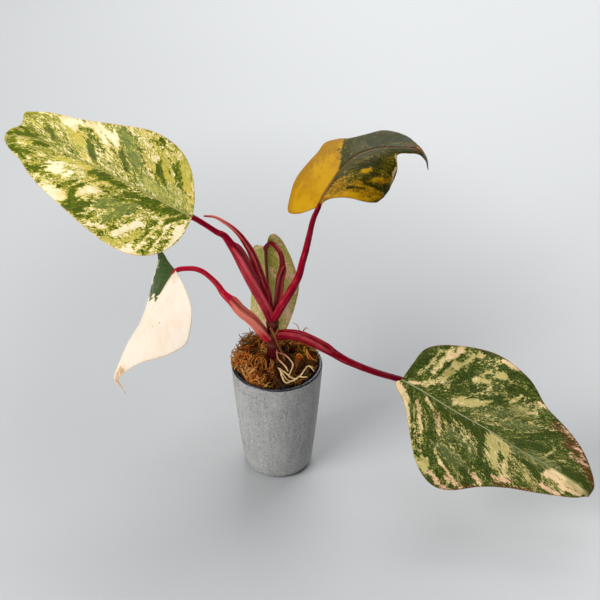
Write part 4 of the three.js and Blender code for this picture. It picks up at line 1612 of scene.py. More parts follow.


# The largest leaf: green and cream in streaks along its veins, with greyish green under a painted sheen by
# the stalk.
UPPER_LEFT = LeafBlade(
    name="leaf_upper_left",
    midrib=[(-67, -12, 269), (-87, -5, 276), (-114, 5, 287), (-142, 17, 296), (-171, 32, 302),
            (-195, 48, 306), (-210, 58, 304), (-221, 65, 301), (-228, 71, 294), (-228, 75, 285)],
    face=[(-0.15, -0.65, 0.74), (-0.15, -0.65, 0.74), (-0.3, -0.6, 0.7)],
    left=Half([(0, 21), (9, 39), (26, 51), (48, 53), (74, 49), (100, 42), (126, 34), (150, 25), (172, 15),
               (188, 7)], [12, 12, 12, 12], [-10, -10, -10, -10]),
    right=Half([(5, 15), (17, 33), (37, 45), (60, 47), (86, 40), (112, 33), (137, 27), (158, 22), (170, 20),
                (172, 9), (187, 5)], [12, 12, 12, 12], [-10, -10, -10, -10]),
    wave=(1.5, 2.5, 0.4),
    upper=Palette(deep=(68, 92, 0), green=(112, 127, 0), lime=(206, 192, 84), pale=(242, 218, 138),
                  cream=(255, 241, 200), rib=(176, 170, 92), margin=(226, 180, 140), warm=(214, 186, 70),
                  grey=(156, 168, 98), streak=2.3, fleck=1.4),
    lower=Palette(deep=(96, 104, 62), green=(120, 126, 80), lime=(156, 156, 98), pale=(184, 176, 124),
                  cream=(220, 206, 164), rib=(142, 66, 60), margin=(170, 110, 96), gloss=0.5, rib_reach=3.2),
    base=T.MOTTLED,
    strokes=[
        (T.CREAM, 3, -12, 5, -34, 3.4), (T.PALE, 7, -24, 9, -38, 1.6), (T.SPECKLED, 10, -16, 11, -42, 2),
        (T.CREAM, 14, -16, 17, -38, 1.5), (T.SPECKLED, 17, -24, 20, -48, 2), (T.PALE, 19, -14, 24, -36, 1.8),
        (T.PALE, 22, -36, 26, -46, 1.6), (T.GREEN, 24, -18, 27, -28, 1.6), (T.DEEP, 26, -28, 29, -38, 2.2),
        (T.CREAM, 27, -50, 38, -52, 2.6), (T.CREAM, 25, -50, 32, -47, 2.4), (T.LIME, 31, -30, 38, -46, 3.6),
        (T.CREAM, 34, -25, 48, -42, 2.6), (T.CREAM, 42, -34, 47, -41, 2.2), (T.LIME, 38, -48, 54, -50, 2.6),
        (T.SPECKLED, 50, -34, 58, -46, 3), (T.CREAM, 58, -41, 70, -46, 2.2), (T.PALE, 64, -36, 72, -40, 1.6),
        (T.GREY, 46, -14, 58, -32, 6), (T.GREY, 58, -12, 70, -28, 6), (T.SPECKLED, 46, -26, 54, -38, 2.6),
        (T.PALE, 62, -30, 74, -33, 1.2), (T.MOTTLED, 74, -36, 84, -48, 2.4), (T.PALE, 80, -47, 96, -46, 1.4),
        (T.DEEP, 80, -34, 97, -42, 5), (T.DEEP, 93, -20, 99, -38, 3.2), (T.GREEN, 72, -38, 78, -44, 2.4),
        (T.DEEP, 90, -30, 97, -34, 3), (T.CREAM, 102, -37, 117, -33, 4), (T.CREAM, 100, -36, 108, -32, 3),
        (T.SPECKLED, 102, -25, 128, -29, 2.4), (T.PALE, 118, -30, 130, -27, 2),
        (T.GREEN, 98, -18, 108, -28, 2), (T.CREAM, 78, -15, 90, -25, 2.8), (T.CREAM, 84, -20, 91, -29, 2.4),
        (T.PALE, 74, -11, 84, -16, 1.6), (T.CREAM, 107, -13, 110, -19, 2.4),
        (T.CREAM, 116, -12, 124, -18, 4.4), (T.CREAM, 121, -15, 127, -16, 3),
        (T.GREEN, 128, -20, 144, -26, 4.6), (T.DEEP, 132, -24, 140, -27, 2.4),
        (T.PALE, 134, -10, 141, -12, 1.6), (T.SPECKLED, 134, -16, 156, -20, 2.4),
        (T.PALE, 146, -18, 154, -19, 1.4), (T.DEEP, 12, -3, 34, -9, 3), (T.DEEP, 6, -3, 16, -12, 2.2),
        (T.DEEP, 30, -4, 56, -8, 3), (T.GREEN, 36, -8, 62, -16, 2.4), (T.DEEP, 60, -4, 92, -5, 3.2),
        (T.SPECKLED, 60, -10, 78, -14, 2), (T.LIME, 94, -3, 112, -6, 2.8), (T.LIME, 112, -4, 128, -8, 2.4),
        (T.PALE, 100, -6, 116, -8, 1.2), (T.SPECKLED, 128, -6, 150, -8, 2.6), (T.DEEP, 138, -2, 160, -4, 2),
        (T.LIME, 154, -5, 174, -6, 2), (T.PALE, 158, -7, 168, -7, 0.9), (T.DEEP, 150, -13, 176, -12, 2.8),
        (T.SPECKLED, 148, -11, 168, -10, 1.4), (T.GREEN, 174, -5, 192, -3, 3), (T.DEEP, 186, -2, 200, -1, 2),
        (T.DEEP, 150, -20, 180, -10, 1.2), (T.LIME, 4, 8, 14, 28, 4), (T.LIME, 14, 24, 38, 42, 8),
        (T.LIME, 44, 24, 56, 34, 7), (T.LIME, 26, 12, 44, 34, 5), (T.SHEEN, 6, 4, 26, 10, 5),
        (T.SHEEN, 20, 4, 54, 9, 5), (T.PALE, 4, 10, 14, 30, 1.4), (T.PALE, 32, 38, 48, 44, 2),
        (T.GREEN, 20, 17, 26, 24, 2.6), (T.GREEN, 25, 22, 32, 31, 2.4), (T.DEEP, 27, 24, 30, 28, 1.4),
        (T.GREEN, 34, 13, 42, 22, 3.2), (T.DEEP, 40, 18, 45, 27, 2.4), (T.PALE, 50, 28, 62, 38, 3),
        (T.GREEN, 47, 41, 53, 44, 1.6), (T.PALE, 54, 44, 78, 39, 2.2), (T.GREY, 60, 16, 76, 30, 5.4),
        (T.GREY, 68, 28, 86, 36, 4), (T.SPECKLED, 56, 8, 78, 16, 4.4), (T.DEEP, 66, 10, 76, 20, 2),
        (T.PALE, 60, 3, 72, 6, 1.4), (T.MOTTLED, 74, 4, 92, 8, 2.6), (T.PALE, 82, 10, 92, 20, 2.4),
        (T.CREAM, 82, 24, 92, 28, 1.8), (T.DEEP, 95, 6, 105, 16, 2.6), (T.SPECKLED, 90, 16, 106, 22, 2.2),
        (T.CREAM, 96, 2, 104, 4, 1.4), (T.LIME, 104, 4, 116, 12, 3), (T.LIME, 110, 12, 130, 20, 5),
        (T.GREEN, 110, 3, 122, 6, 1.6), (T.SPECKLED, 118, 4, 134, 10, 2.6), (T.CREAM, 86, 28, 104, 31, 3),
        (T.CREAM, 90, 22, 102, 28, 1.8), (T.CREAM, 104, 30, 136, 24, 2.8), (T.GREEN, 106, 26, 118, 25, 1.4),
        (T.CREAM, 122, 22, 136, 23, 2.2), (T.MOTTLED, 136, 12, 168, 17, 6), (T.LIME, 140, 8, 160, 14, 2),
        (T.GREEN, 132, 5, 144, 12, 3), (T.DEEP, 136, 6, 140, 10, 1.4), (T.SPECKLED, 146, 3, 166, 8, 3),
        (T.DEEP, 152, 2, 184, 3, 2.8), (T.DEEP, 160, 5, 172, 7, 1.6), (T.OLIVE, 138, 20, 168, 20, 1.4),
    ],
    fan=(0.45, 3.2), seed=1)

# The leaf that lies towards the right: dark green with cream patches, and pink by its margins.
LOWER_RIGHT = LeafBlade(
    name="leaf_lower_right",
    midrib=[(107, -38, 121), (124, -44, 114), (151, -56, 102), (180, -70, 92), (206, -84, 82), (229, -96, 75),
            (249, -108, 68), (258, -113, 63), (262, -115, 57)],
    face=[(-0.14, -0.71, 0.67), (-0.14, -0.71, 0.67), (0.2, -0.75, 0.6)],
    left=Half([(2, 17), (6, 33), (22, 47), (44, 57), (67, 60), (92, 55), (114, 44), (138, 36), (162, 25),
               (179, 11)], [10, 10, 10, 10], [-8, -8, -8, -8]),
    right=Half([(-3, 6), (12, 18), (30, 37), (49, 57), (67, 65), (87, 59), (106, 44), (124, 33), (150, 24),
                (176, 11)], [10, 10, 10, 10], [0, 0, -8, -8]),
    wave=(1.5, 3, 0),
    upper=Palette(deep=(36, 66, 0), green=(74, 98, 2), lime=(212, 196, 124), pale=(236, 208, 144),
                  cream=(255, 230, 172), rib=(170, 172, 124), margin=(150, 84, 60), warm=(128, 122, 22),
                  grey=(126, 136, 90), pink=(255, 190, 166), rust=(116, 44, 32), vein_mark=0.04, streak=2.1,
                  fleck=1.5),
    lower=Palette(deep=(80, 96, 60), green=(98, 110, 72), lime=(142, 146, 96), pale=(176, 168, 122),
                  cream=(208, 192, 150), rib=(120, 44, 44), margin=(150, 92, 80), gloss=0.5, rib_reach=3.2),
    base=T.GREEN,
    strokes=[
        (T.DEEP, 4, -8, 8, -36, 5), (T.SPECKLED, 12, -12, 16, -38, 1.8), (T.DEEP, 14, -34, 18, -44, 2),
        (T.LIME, 14, -20, 17, -38, 1), (T.PALE, 20, -20, 24, -44, 2.2), (T.PEACH, 25, -38, 30, -47, 2.6),
        (T.PEACH, 7, -1, 20, -7, 1.5), (T.PALE, 18, -6, 30, -18, 2), (T.BUFF, 28, -16, 36, -34, 1.8),
        (T.BUFF, 34, -32, 41, -49, 2.4), (T.BUFF, 28, -22, 31, -36, 1.4), (T.DEEP, 25, -22, 28, -36, 0.9),
        (T.SPECKLED, 32, -10, 44, -26, 2.4), (T.DEEP, 40, -22, 50, -44, 3.4), (T.BUFF, 44, -52, 50, -51, 2.6),
        (T.DEEP, 46, -57, 62, -58, 2), (T.SPECKLED, 50, -50, 66, -54, 3), (T.PEACH, 68, -58, 82, -57, 1.6),
        (T.DEEP, 70, -53, 94, -52, 3.4), (T.BUFF, 70, -46, 75, -47, 3.2), (T.BUFF, 58, -38, 64, -45, 2.2),
        (T.BUFF, 56, -34, 66, -36, 2), (T.PALE, 53, -32, 57, -33, 2), (T.LIME, 82, -45, 88, -45, 1.4),
        (T.DEEP, 56, -22, 84, -28, 3.4), (T.DEEP, 76, -36, 92, -44, 3.4), (T.SPECKLED, 62, -26, 80, -34, 3),
        (T.BUFF, 49, -8, 64, -13, 3.6), (T.BUFF, 58, -13, 70, -19, 2.8), (T.PALE, 48, -7, 54, -8, 1.6),
        (T.LIME, 70, -19, 76, -22, 1.8), (T.SPECKLED, 72, -6, 94, -16, 4), (T.GREY, 76, -10, 92, -20, 4),
        (T.GREY, 96, -14, 118, -22, 5), (T.SHEEN, 94, -26, 110, -34, 3.4), (T.PALE, 89, -30, 93, -38, 1.5),
        (T.PALE, 97, -29, 103, -33, 1.3), (T.PALE, 104, -30, 112, -34, 1.1),
        (T.PALE, 110, -25, 117, -26, 1.6), (T.SPECKLED, 98, -36, 114, -41, 3),
        (T.PEACH, 108, -43, 118, -42, 0.7), (T.DEEP, 112, -5, 140, -12, 4.4), (T.DEEP, 118, -16, 134, -24, 4),
        (T.SPECKLED, 118, -26, 138, -32, 2.6), (T.PALE, 137, -5, 140, -11, 1),
        (T.PALE, 140, -11, 144, -15, 0.9), (T.LIME, 146, -8, 153, -10, 0.9), (T.DEEP, 142, -4, 178, -5, 4.4),
        (T.GREEN, 144, -14, 162, -16, 2.6), (T.RUST, 132, -33, 150, -30, 2.6),
        (T.RUST, 146, -26, 168, -20, 4), (T.RUST, 164, -18, 182, -9, 3), (T.SPOTTED, 154, -26, 164, -22, 2),
        (T.SPOTTED, 154, -18, 168, -17, 1.6), (T.SPOTTED, 138, -33, 150, -31, 1.6),
        (T.GREY, 124, -2, 150, -3, 1.6), (T.CREAM, 0, 7, 12, 14, 3), (T.CREAM, 10, 13, 22, 28, 3),
        (T.PALE, 20, 27, 36, 46, 2.4), (T.BUFF, 34, 46, 48, 58, 3), (T.PEACH, -4, 4, 6, 8, 2.4),
        (T.BUFF, 50, 50, 58, 58, 3.4), (T.DEEP, 10, 5, 22, 17, 1.9), (T.GREY, 20, 16, 30, 30, 2),
        (T.DEEP, 24, 22, 37, 37, 1.9), (T.GREEN, 36, 38, 46, 50, 2), (T.LIME, 20, 14, 30, 30, 0.7),
        (T.BLUSH, 22, 10, 29, 19, 2), (T.PEACH, 28, 19, 36, 28, 1.3), (T.PALE, 24, 12, 28, 17, 0.9),
        (T.PALE, 32, 26, 40, 38, 1.6), (T.SPECKLED, 30, 26, 44, 44, 2), (T.GREEN, 27, 11, 40, 24, 1.4),
        (T.PALE, 26, 4, 36, 8, 1.1), (T.DEEP, 36, 2, 56, 9, 3), (T.BLUSH, 41, 11, 49, 20, 2.2),
        (T.PEACH, 44, 14, 47, 18, 0.8), (T.PALE, 50, 12, 59, 20, 1.2), (T.DEEP, 38, 16, 46, 28, 2),
        (T.LIME, 47, 21, 55, 27, 1.1), (T.DEEP, 44, 26, 56, 34, 3.4), (T.DEEP, 58, 3, 84, 9, 3.6),
        (T.SPECKLED, 58, 12, 84, 18, 3.4), (T.GREY, 58, 18, 84, 28, 5), (T.GREY, 56, 32, 84, 42, 5),
        (T.GREEN, 64, 24, 92, 34, 3.4), (T.LIME, 54, 38, 66, 46, 0.9), (T.PEACH, 62, 44, 84, 54, 1.1),
        (T.LIME, 74, 43, 84, 48, 0.9), (T.DEEP, 82, 2, 85, 12, 2), (T.DEEP, 84, 14, 92, 24, 2.4),
        (T.DEEP, 84, 42, 98, 50, 3.4), (T.BUFF, 89, 3, 109, 4, 3.6), (T.BUFF, 92, 9, 108, 9, 4),
        (T.BUFF, 99, 15, 104, 22, 4.6), (T.BUFF, 96, 12, 102, 18, 4), (T.BUFF, 108, 12, 112, 18, 2.4),
        (T.PALE, 111, 19, 116, 27, 2.6), (T.GREEN, 103, 11, 108, 14, 1), (T.SPECKLED, 114, 4, 122, 24, 3),
        (T.DEEP, 94, 26, 108, 33, 3.4), (T.ROSE, 95, 40, 103, 43, 2), (T.ROSE, 108, 32, 122, 28, 1.8),
        (T.DEEP, 116, 5, 140, 12, 3.4), (T.SPECKLED, 122, 12, 142, 20, 3.4), (T.PALE, 130, 16, 136, 20, 1.4),
        (T.GREY, 112, 2, 142, 3, 1.8), (T.PEACH, 148, 2, 178, 4, 3), (T.PEACH, 144, 7, 164, 7, 2.2),
        (T.CREAM, 150, 2, 184, 1, 2), (T.SPECKLED, 146, 11, 164, 13, 2), (T.ROSE, 146, 18, 164, 16, 1.8),
        (T.PEACH, 160, 10, 178, 7, 1.6), (T.ROSE, 58, 56, 68, 60, 1.8), (T.ROSE, 74, 53, 90, 55, 2.4),
        (T.ROSE, 66, 60, 84, 61, 2.4), (T.DEEP, 58, 60, 64, 62, 1.4), (T.RUST, 86, 56, 100, 48, 1.4),
        (T.RUST, 112, 36, 140, 26, 1.1),
    ],
    fan=(0.5, 2.8), seed=2)

# The hanging leaf: one half cream, the other folded back and green by the stalk.
LOWER_LEFT = LeafBlade(
    name="leaf_lower_left",
    midrib=[(-82, -22, 223), (-90, -26, 212), (-98, -30, 199), (-108, -34, 183), (-119, -38, 163),
            (-130, -42, 143), (-137, -44, 128), (-134, -46, 122), (-128, -48, 113)],
    face=[(-0.3, -0.85, 0.4), (-0.3, -0.9, 0.3), (-0.3, -0.9, 0.3)],
    left=Half([(6, 14), (16, 27), (32, 36), (46, 40), (57, 37), (69, 29), (84, 16), (98, 8), (110, 4)],
              [5, 5, 5, 5], [-10, -10, -10, -10]),
    right=Half([(-1, 12), (-3, 22), (-1, 29), (9, 23), (23, 28), (37, 42), (60, 34), (84, 16), (106, 5)],
               [-24, -43, -55, -64, -60, -60, -60], [-10, -18, -28, -30, -30, -25, -20]),
    wave=(1, 2, 0),
    upper=Palette(deep=(60, 86, 42), green=(78, 100, 58), lime=(150, 150, 92), pale=(236, 206, 160),
                  cream=(255, 240, 220), rib=(252, 230, 202), margin=(244, 198, 160), warm=(255, 228, 200),
                  pink=(236, 180, 142), rust=(220, 156, 118), vein_mark=0.03, rib_shade=0.1, streak=1.6,
                  fleck=0.6),
    lower=Palette(deep=(86, 98, 62), green=(110, 120, 80), lime=(160, 160, 110), pale=(226, 208, 170),
                  cream=(242, 224, 192), rib=(196, 120, 100), margin=(226, 170, 140), gloss=0.5,
                  rib_reach=2.6, streak=1.6, fleck=0.6),
    base=T.CREAM,
    strokes=[
        (T.DEEP, -2, 2, -2, 30, 8), (T.DEEP, 4, 3, 26, 6, 6), (T.DEEP, 8, 14, 28, 18, 8),
        (T.GREEN, 30, 18, 33, 26, 4), (T.DEEP, 34, 26, 38, 40, 4), (T.GREEN, 24, 12, 30, 18, 3),
        (T.PEACH, 2, -2, 8, -4, 2.4), (T.PALE, 70.5, -25.5, 71.5, -26, 0.8), (T.PALE, 45, -12, 46, -12, 0.7),
        (T.PALE, 51, -8.6, 52, -8.4, 0.6), (T.PEACH, 98, -5, 112, -2, 3), (T.ROSE, 104, -2, 118, -1, 4),
        (T.ROSE, 112, -1, 134, 0, 4), (T.PEACH, 106, 3, 116, 2, 2.4),
    ],
    fan=(0.5, 2.5), seed=3)

# The leaf seen nearly edge on: mustard yellow by the stalk, then dark green with a painted sheen.
UPPER_RIGHT = LeafBlade(
    name="leaf_upper_right",
    midrib=[(35, 8, 266), (40, 17, 272), (46, 27, 277), (53, 38, 282), (62, 49, 286), (72, 58, 288),
            (87, 68, 287), (105, 76, 283), (121, 82, 278), (129, 85, 268), (132, 86, 255)],
    face=[(-0.1, -0.4, 0.9), (-0.1, -0.2, 0.95), (0.3, -0.1, 0.9)],
    left=Half([(-10, 11), (-13, 20), (-9, 24), (3, 27), (20, 29.5), (44, 28), (55, 30), (63, 25), (70, 20),
               (84, 19), (98, 22), (109, 21), (119, 15), (127, 7)], [-5, 5, 5, 0], [0, 0, 0, 0]),
    right=Half([(10, 5), (20, 19), (29, 36), (42, 43), (66, 44), (87, 35), (97, 23), (101, 8), (116, 6),
                (132, 5)], [0, -5, -10, -10], [-40, -60, -60, -40]),
    wave=(1, 2, 1),
    upper=Palette(deep=(44, 46, 0), green=(48, 58, 6), lime=(146, 122, 6), pale=(176, 138, 30),
                  cream=(204, 186, 140), rib=(118, 74, 50), margin=(146, 108, 40), warm=(128, 104, 4),
                  grey=(100, 92, 62), gloss=0.36, yellow=(200, 150, 2), ochre=(164, 110, 0),
                  rust=(120, 60, 50), pink=(190, 120, 100), streak=2.2, fleck=1.2, vein_mark=0.02),
    lower=Palette(deep=(84, 88, 52), green=(100, 102, 66), lime=(150, 138, 74), pale=(184, 160, 96),
                  cream=(206, 184, 130), rib=(130, 50, 46), margin=(160, 110, 70), yellow=(190, 150, 50),
                  gloss=0.5, rib_reach=3.0),
    base=T.GREEN,
    strokes=[
        (T.MUSTARD, -6, -14, 36, -14, 15), (T.MUSTARD, 30, -22, 56, -24, 9), (T.MUSTARD, -2, -5, 36, -4, 5),
        (T.MUSTARD, 44, -8, 52, -14, 5), (T.OCHRE, 40, -24, 60, -25, 6), (T.OCHRE, 12, -26, 40, -27, 3.6),
        (T.PLAIN, 45, -1, 54, -5, 3.6), (T.PLAIN, 56, -3, 66, -12, 5), (T.PLAIN, 66, -4, 74, -18, 7),
        (T.GLAZED, 64, -7, 76, -10, 4), (T.PLAIN, 84, -6, 122, -16, 7), (T.GLAZED, 96, -2, 120, -3, 1.6),
        (T.MUSTARD, 6, 3, 18, 14, 4.4), (T.AMBER, 10, 4, 34, 26, 6), (T.AMBER, 26, 12, 46, 30, 5),
        (T.OLIVE, 40, 10, 60, 20, 4), (T.MUSTARD, 20, 22, 34, 36, 2.8), (T.MUSTARD, 14, 8, 28, 24, 1.8),
        (T.OLIVE, 24, 8, 48, 15, 2.4), (T.DEEP, 28, 14, 38, 26, 1.2), (T.GLAZED, 34, 2, 92, 4, 3.6),
        (T.AMBER, 14, 3, 36, 8, 2.8), (T.DEEP, 44, 24, 54, 34, 2), (T.DEEP, 54, 12, 92, 15, 3.6),
        (T.AMBER, 34, 30, 56, 41, 5), (T.MUSTARD, 38, 36, 50, 42, 1.4), (T.MUSTARD, 52, 14, 62, 18, 1.5),
        (T.DEEP, 60, 22, 84, 24, 2.6), (T.AMBER, 58, 28, 86, 31, 3.4), (T.MUSTARD, 54, 26, 72, 29, 1.6),
        (T.DEEP, 58, 37, 80, 41, 2.6), (T.SPECKLED, 66, 19, 82, 26, 2.4), (T.OLIVE, 82, 20, 94, 12, 3),
        (T.CREAM, 84, 36, 97, 20, 1.6), (T.CREAM, 98, 17, 99, 8, 1.1), (T.PLAIN, 98, 2, 132, 3, 4),
        (T.RUST, 116, -2, 124, 2, 2.4), (T.ROSE, 126, -2, 140, 0, 4),
    ],
    fan=(0.5, 2.4), seed=4)

# The leaf behind the stalks, which shows its dull underside and raised red rib. Its underside colours are
# painted light: far paler than the leaf's own, so that it looks lit in the shade behind the stalks.
BACK = LeafBlade(
    name="leaf_back",
    midrib=[(-9, 52, 198), (-9, 60, 173), (-8, 64, 148), (-7, 66, 119), (-7, 66, 93), (-6, 64, 70)],
    face=[(0.46, 0.89, 0.2), (0.46, 0.89, 0), (0.46, 0.89, 0)],
    left=Half([(7, 7), (14, 15), (22, 21), (36, 26), (56, 29), (78, 31), (98, 32), (114, 28), (127, 13)],
              [27, 27, 27, 27], [0, 0, 0, 0]),
    right=Half([(-13, 2), (-17, 7), (-9, 13), (5, 18), (25, 24), (50, 27), (74, 23.5), (98, 16.5), (118, 9)],
               [27, 27, 27, 27], [0, 0, 0, 0]),
    wave=(1, 2, 0),
    upper=Palette(deep=(56, 76, 22), green=(88, 106, 40), lime=(158, 160, 84), pale=(202, 192, 126),
                  cream=(238, 222, 176), rib=(160, 150, 92), margin=(190, 150, 120)),
    # Painted light: these underside colours are far paler than the leaf's own, so that it looks lit in shade.
    lower=Palette(deep=(172, 180, 62), green=(194, 194, 86), lime=(216, 206, 122), pale=(246, 214, 156),
                  cream=(255, 220, 186), rib=(108, 6, 14), margin=(246, 210, 116), warm=(228, 182, 118),
                  pink=(255, 194, 176), rust=(200, 126, 92), gloss=0.46, rib_reach=0.6, vein_mark=0.12,
                  streak=1.8, fleck=1.5),
    base=T.OLIVE,
    strokes=[
        (T.GREEN, 4, 3, 34, 5, 5), (T.BLUSH, 30, 4, 48, 8, 3), (T.GREEN, 10, -6, 46, -14, 5),
        (T.BLUSH, 10, 10, 44, 22, 3), (T.BLUSH, 46, -4, 72, -10, 4), (T.PALE, 6, -6, 24, -20, 1.4),
        (T.BLUSH, 56, -14, 100, -24, 7), (T.PEACH, 78, -14, 90, -18, 2), (T.OLIVE, 84, -27, 98, -28, 3),
        (T.BLUSH, 64, 12, 98, 18, 6), (T.PEACH, 76, 15, 88, 17, 2), (T.GREEN, 72, 4, 94, 8, 3),
        (T.BLUSH, 96, -20, 122, 6, 8), (T.BLUSH, 30, 18, 60, 22, 3), (T.GREEN, 46, 6, 60, 14, 3),
        (T.PALE, -16, 6, -2, 12, 2), (T.RUST, 60, 26, 92, 24, 1.2), (T.RUST, 40, -26, 70, -29, 1.2),
    ],
    fan=(0.5, 2.5), seed=5)


FROSTED = StalkFinish((164, 4, 40), (216, 84, 92), (76, 0, 22))
ROSY = StalkFinish((228, 30, 62), (255, 146, 124), (140, 2, 34))
CRIMSON = StalkFinish((152, 0, 34), (224, 74, 84), (76, 0, 16))
MAROON = StalkFinish((128, 0, 26), (196, 70, 78), (50, 0, 10))
DUSKY = StalkFinish((140, 14, 30), (204, 92, 84), (74, 2, 14))
YOUNG = StalkFinish((184, 4, 38), (236, 128, 112), (76, 2, 14), gloss=0.18)

LEAVES = (UPPER_LEFT, LOWER_LEFT, UPPER_RIGHT, LOWER_RIGHT, BACK)
PETIOLES = (
    Petiole("petiole_upper_left",
            [(-5, 1.5, 156), (-9.2, 1, 169), (-17.5, -1, 190), (-25, -4, 211), (-31, -6, 228),
             (-37, -8, 240), (-42, -8, 248), (-48, -10, 253), (-56, -11, 260)],
            [4, 4.5, 4.8, 4.9, 4.8, 3.2, 2.3, 2.3], 0.66, 1, (0.9, 0.1, 0.4), UPPER_LEFT, FROSTED,
            wash=0.35, end_spread=0.02, dark_from=0.66, groove=0.32),
    Petiole("petiole_lower_left",
            [(-8, -1, 137), (-13, -4, 147), (-21, -7, 161), (-31, -9, 173), (-37, -10, 183),
             (-44, -11, 192), (-49, -12, 202), (-56, -15, 213), (-63, -17, 220), (-71, -19, 223)],
            [4, 4.4, 4.6, 4.2, 2.9, 2.3, 2.2, 2], 0.48, 0.85, (0.8, 0, 0.6), LOWER_LEFT, ROSY,
            wash=0.8, end_spread=0.015, dark_from=0.55, groove=0.32),
    Petiole("petiole_upper_right",
            [(-2, 0, 158), (6, 0, 174), (13, 1, 187), (19, 3, 200), (22, 5, 212), (25, 6, 224),
             (28, 8, 238), (31, 8, 253)],
            [3.8, 3.6, 3.3, 3, 2.8, 2.4, 2.1], 0.3, 0.5, (-0.8, 0.2, 0.5), UPPER_RIGHT, CRIMSON),
    Petiole("petiole_lower_right",
            [(-1, -1, 140), (9, -5, 144), (20, -10, 146), (31, -15, 144), (46, -20, 138),
             (61, -25, 131), (84, -31, 124)],
            [4, 4.2, 4.2, 3.6, 3, 2.8, 2.6], 0.42, 0.9, (0, 0.1, 1), LOWER_RIGHT, MAROON),
    Petiole("petiole_back",
            [(-2, 5, 157), (0, 9, 164), (2, 14, 176), (3, 20, 186), (5, 26, 194), (4, 32, 202),
             (0, 39, 205), (-5, 46, 205)],
            [3.2, 3.8, 3.8, 3, 2.1, 2, 2], 0.5, 0.9, (0, -0.9, 0.4), BACK, DUSKY, wash=0.3),
)


@dataclass(frozen=True)
class PaperFinish(Finish):
    """The studio's pale floor, with painted light: a little darker at the left and front, and a painted
    shadow around and behind the pot.
    """

    dark: Colour = linear(188, 190, 192)
    pale: Colour = linear(222, 224, 225)

    def dress(self, sheet: NodeSheet) -> dict[str, object]:
        """Adds the nodes.

        Args:
            sheet: where they go.

        Returns:
            The shader's inputs.
        """
        place = sheet.place()
        x, y, _ = place.axes()
        # Painted light: the wash darkens towards the left and front, with faint random tone, and a painted
        # shadow pool darkens it around and behind the pot.
        back = y - 0.15
        shadow_pool_distance = x * x + back * back * 0.5
        wash = (x * 0.8 + y * 0.4).eased(-0.5, 0.5, 0.0, 0.8) + place.noise(1.4, 2) * 0.2
        wash = (wash - shadow_pool_distance.eased(0.0, 0.14, 0.5, 0.0)).held()
        colour = sheet.ramp(wash, ((0.0, self.dark), (1.0, self.pale)))
        return dict(Base_Color=colour, Roughness=0.75, Specular_IOR_Level=0.2)


@dataclass(frozen=True)
class Lamp:
    """A soft square lamp. Its places and its side are in metres, and its power is in watts."""

    name: str
    place: Point
    target: Point
    size: float
    power: float
    tint: Colour

    def build(self) -> None:
        """Adds the lamp."""
        light = bpy.data.lights.new(self.name, "AREA")
        light.shape = "SQUARE"
        light.size = self.size
        light.energy = self.power
        light.color = self.tint
        lamp = bpy.data.objects.new(self.name, light)
        lamp.location = self.place
        lamp.rotation_mode = "QUATERNION"
        lamp.rotation_quaternion = (Vector(self.target) - Vector(self.place)).to_track_quat("-Z", "Y")
        bpy.context.scene.collection.objects.link(lamp)


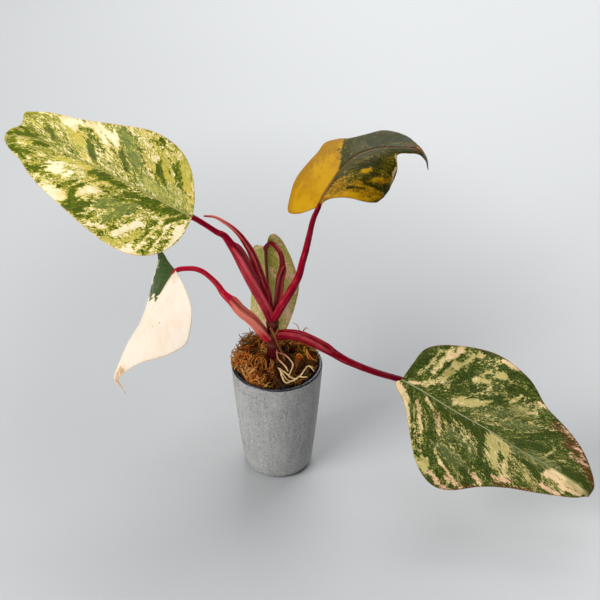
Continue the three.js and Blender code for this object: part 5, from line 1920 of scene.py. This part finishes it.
@dataclass
class Studio:
    """The plain pale floor, the soft lights and the camera."""

    camera_place: Point = (20.22, -1041.65, 920.49)
    camera_drop: float = 35.5
    lens: float = 90
    sensor: float = 36
    clip_end: float = 60
    floor_radius: float = 9
    floor_sides: int = 64
    air: Colour = (0.96, 0.98, 1)
    air_strength: float = 0.1
    lamps: tuple[Lamp, ...] = (
        Lamp("key_light", (-1.34, -1.02, 1.2), (0.0, 0.0, 0.15), 1.15, 34, (1, 0.995, 0.985)),
        Lamp("back_light", (0.5, 1.6, 1.7), (0.0, 0.0, 0.1), 2.0, 40, (0.99, 0.995, 1)),
        Lamp("top_light", (0.0, 0.2, 2.0), (0.0, 0.0, 0.1), 1.4, 9, (1, 1, 1)))

    def floor(self) -> None:
        """Adds the floor as stage."""
        mesh = bpy.data.meshes.new("studio_floor")
        turns = [k * FULL_TURN / self.floor_sides for k in range(self.floor_sides)]
        ring = [(self.floor_radius * math.cos(turn), self.floor_radius * math.sin(turn), 0) for turn in turns]
        mesh.from_pydata(ring, [], [tuple(range(self.floor_sides))])
        mesh.materials.append(PaperFinish().material("studio_paper"))
        piece = bpy.data.objects.new("studio_floor", mesh)
        bpy.context.scene.collection.objects.link(piece)
        piece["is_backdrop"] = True

    def surroundings(self) -> None:
        """Adds the pale light from all round."""
        world = bpy.data.worlds.new("studio_air")
        world.use_nodes = True
        air = world.node_tree.nodes["Background"]
        air.inputs[0].default_value = (*self.air, 1)
        air.inputs[1].default_value = self.air_strength
        bpy.context.scene.world = world

    def camera(self) -> None:
        """Adds the camera at the photograph's angle."""
        data = bpy.data.cameras.new("front_camera")
        data.lens = self.lens
        data.sensor_width = self.sensor
        data.clip_end = self.clip_end
        camera = bpy.data.objects.new("front_camera", data)
        camera.location = [v * MM for v in self.camera_place]
        camera.rotation_euler = (math.radians(90 - self.camera_drop), 0, 0)
        bpy.context.scene.collection.objects.link(camera)
        bpy.context.scene.camera = camera

    def build(self) -> None:
        """Sets the stage."""
        self.floor()
        for lamp in self.lamps:
            lamp.build()
        self.surroundings()
        self.camera()
        bpy.context.scene.view_settings.view_transform = "Standard"


@dataclass
class Philodendron:
    """The whole plant in its pot."""

    pot: StonewarePot = field(default_factory=StonewarePot)
    stem: Stem = field(default_factory=Stem)
    roots: SurfaceRoots = field(default_factory=SurfaceRoots)
    dried: DriedSheath = field(default_factory=DriedSheath)
    young: NewLeaf = field(default_factory=NewLeaf)

    def build(self) -> Iterator[bpy.types.Object]:
        """Builds and dresses everything, the pot first.

        Yields:
            Each piece when it is ready.
        """
        yield self.pot.build()
        moss = MossBed(self.roots)
        yield moss.mound()
        yield moss.curls()
        for part in (*LEAVES, *PETIOLES):
            yield part.build()
        yield self.young.build(YOUNG)
        yield self.stem.build()
        yield self.roots.build()
        yield self.dried.build()


def main() -> None:
    """Builds the studio and the plant, reports each piece and writes both boxes."""
    logging.basicConfig(level=logging.INFO, format="%(name)s %(message)s")
    Studio().build()
    for piece in Philodendron().build():
        LOG.info("%s: %d points, %d faces", piece.name, len(piece.data.vertices), len(piece.data.polygons))
    boxes = {"cad": CAD_BOX, "visual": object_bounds()}
    boxes = {name: [list(corner) for corner in box] for name, box in boxes.items()}
    LOG.info("boxes: %s", boxes)


if __name__ == "__main__":
    main()
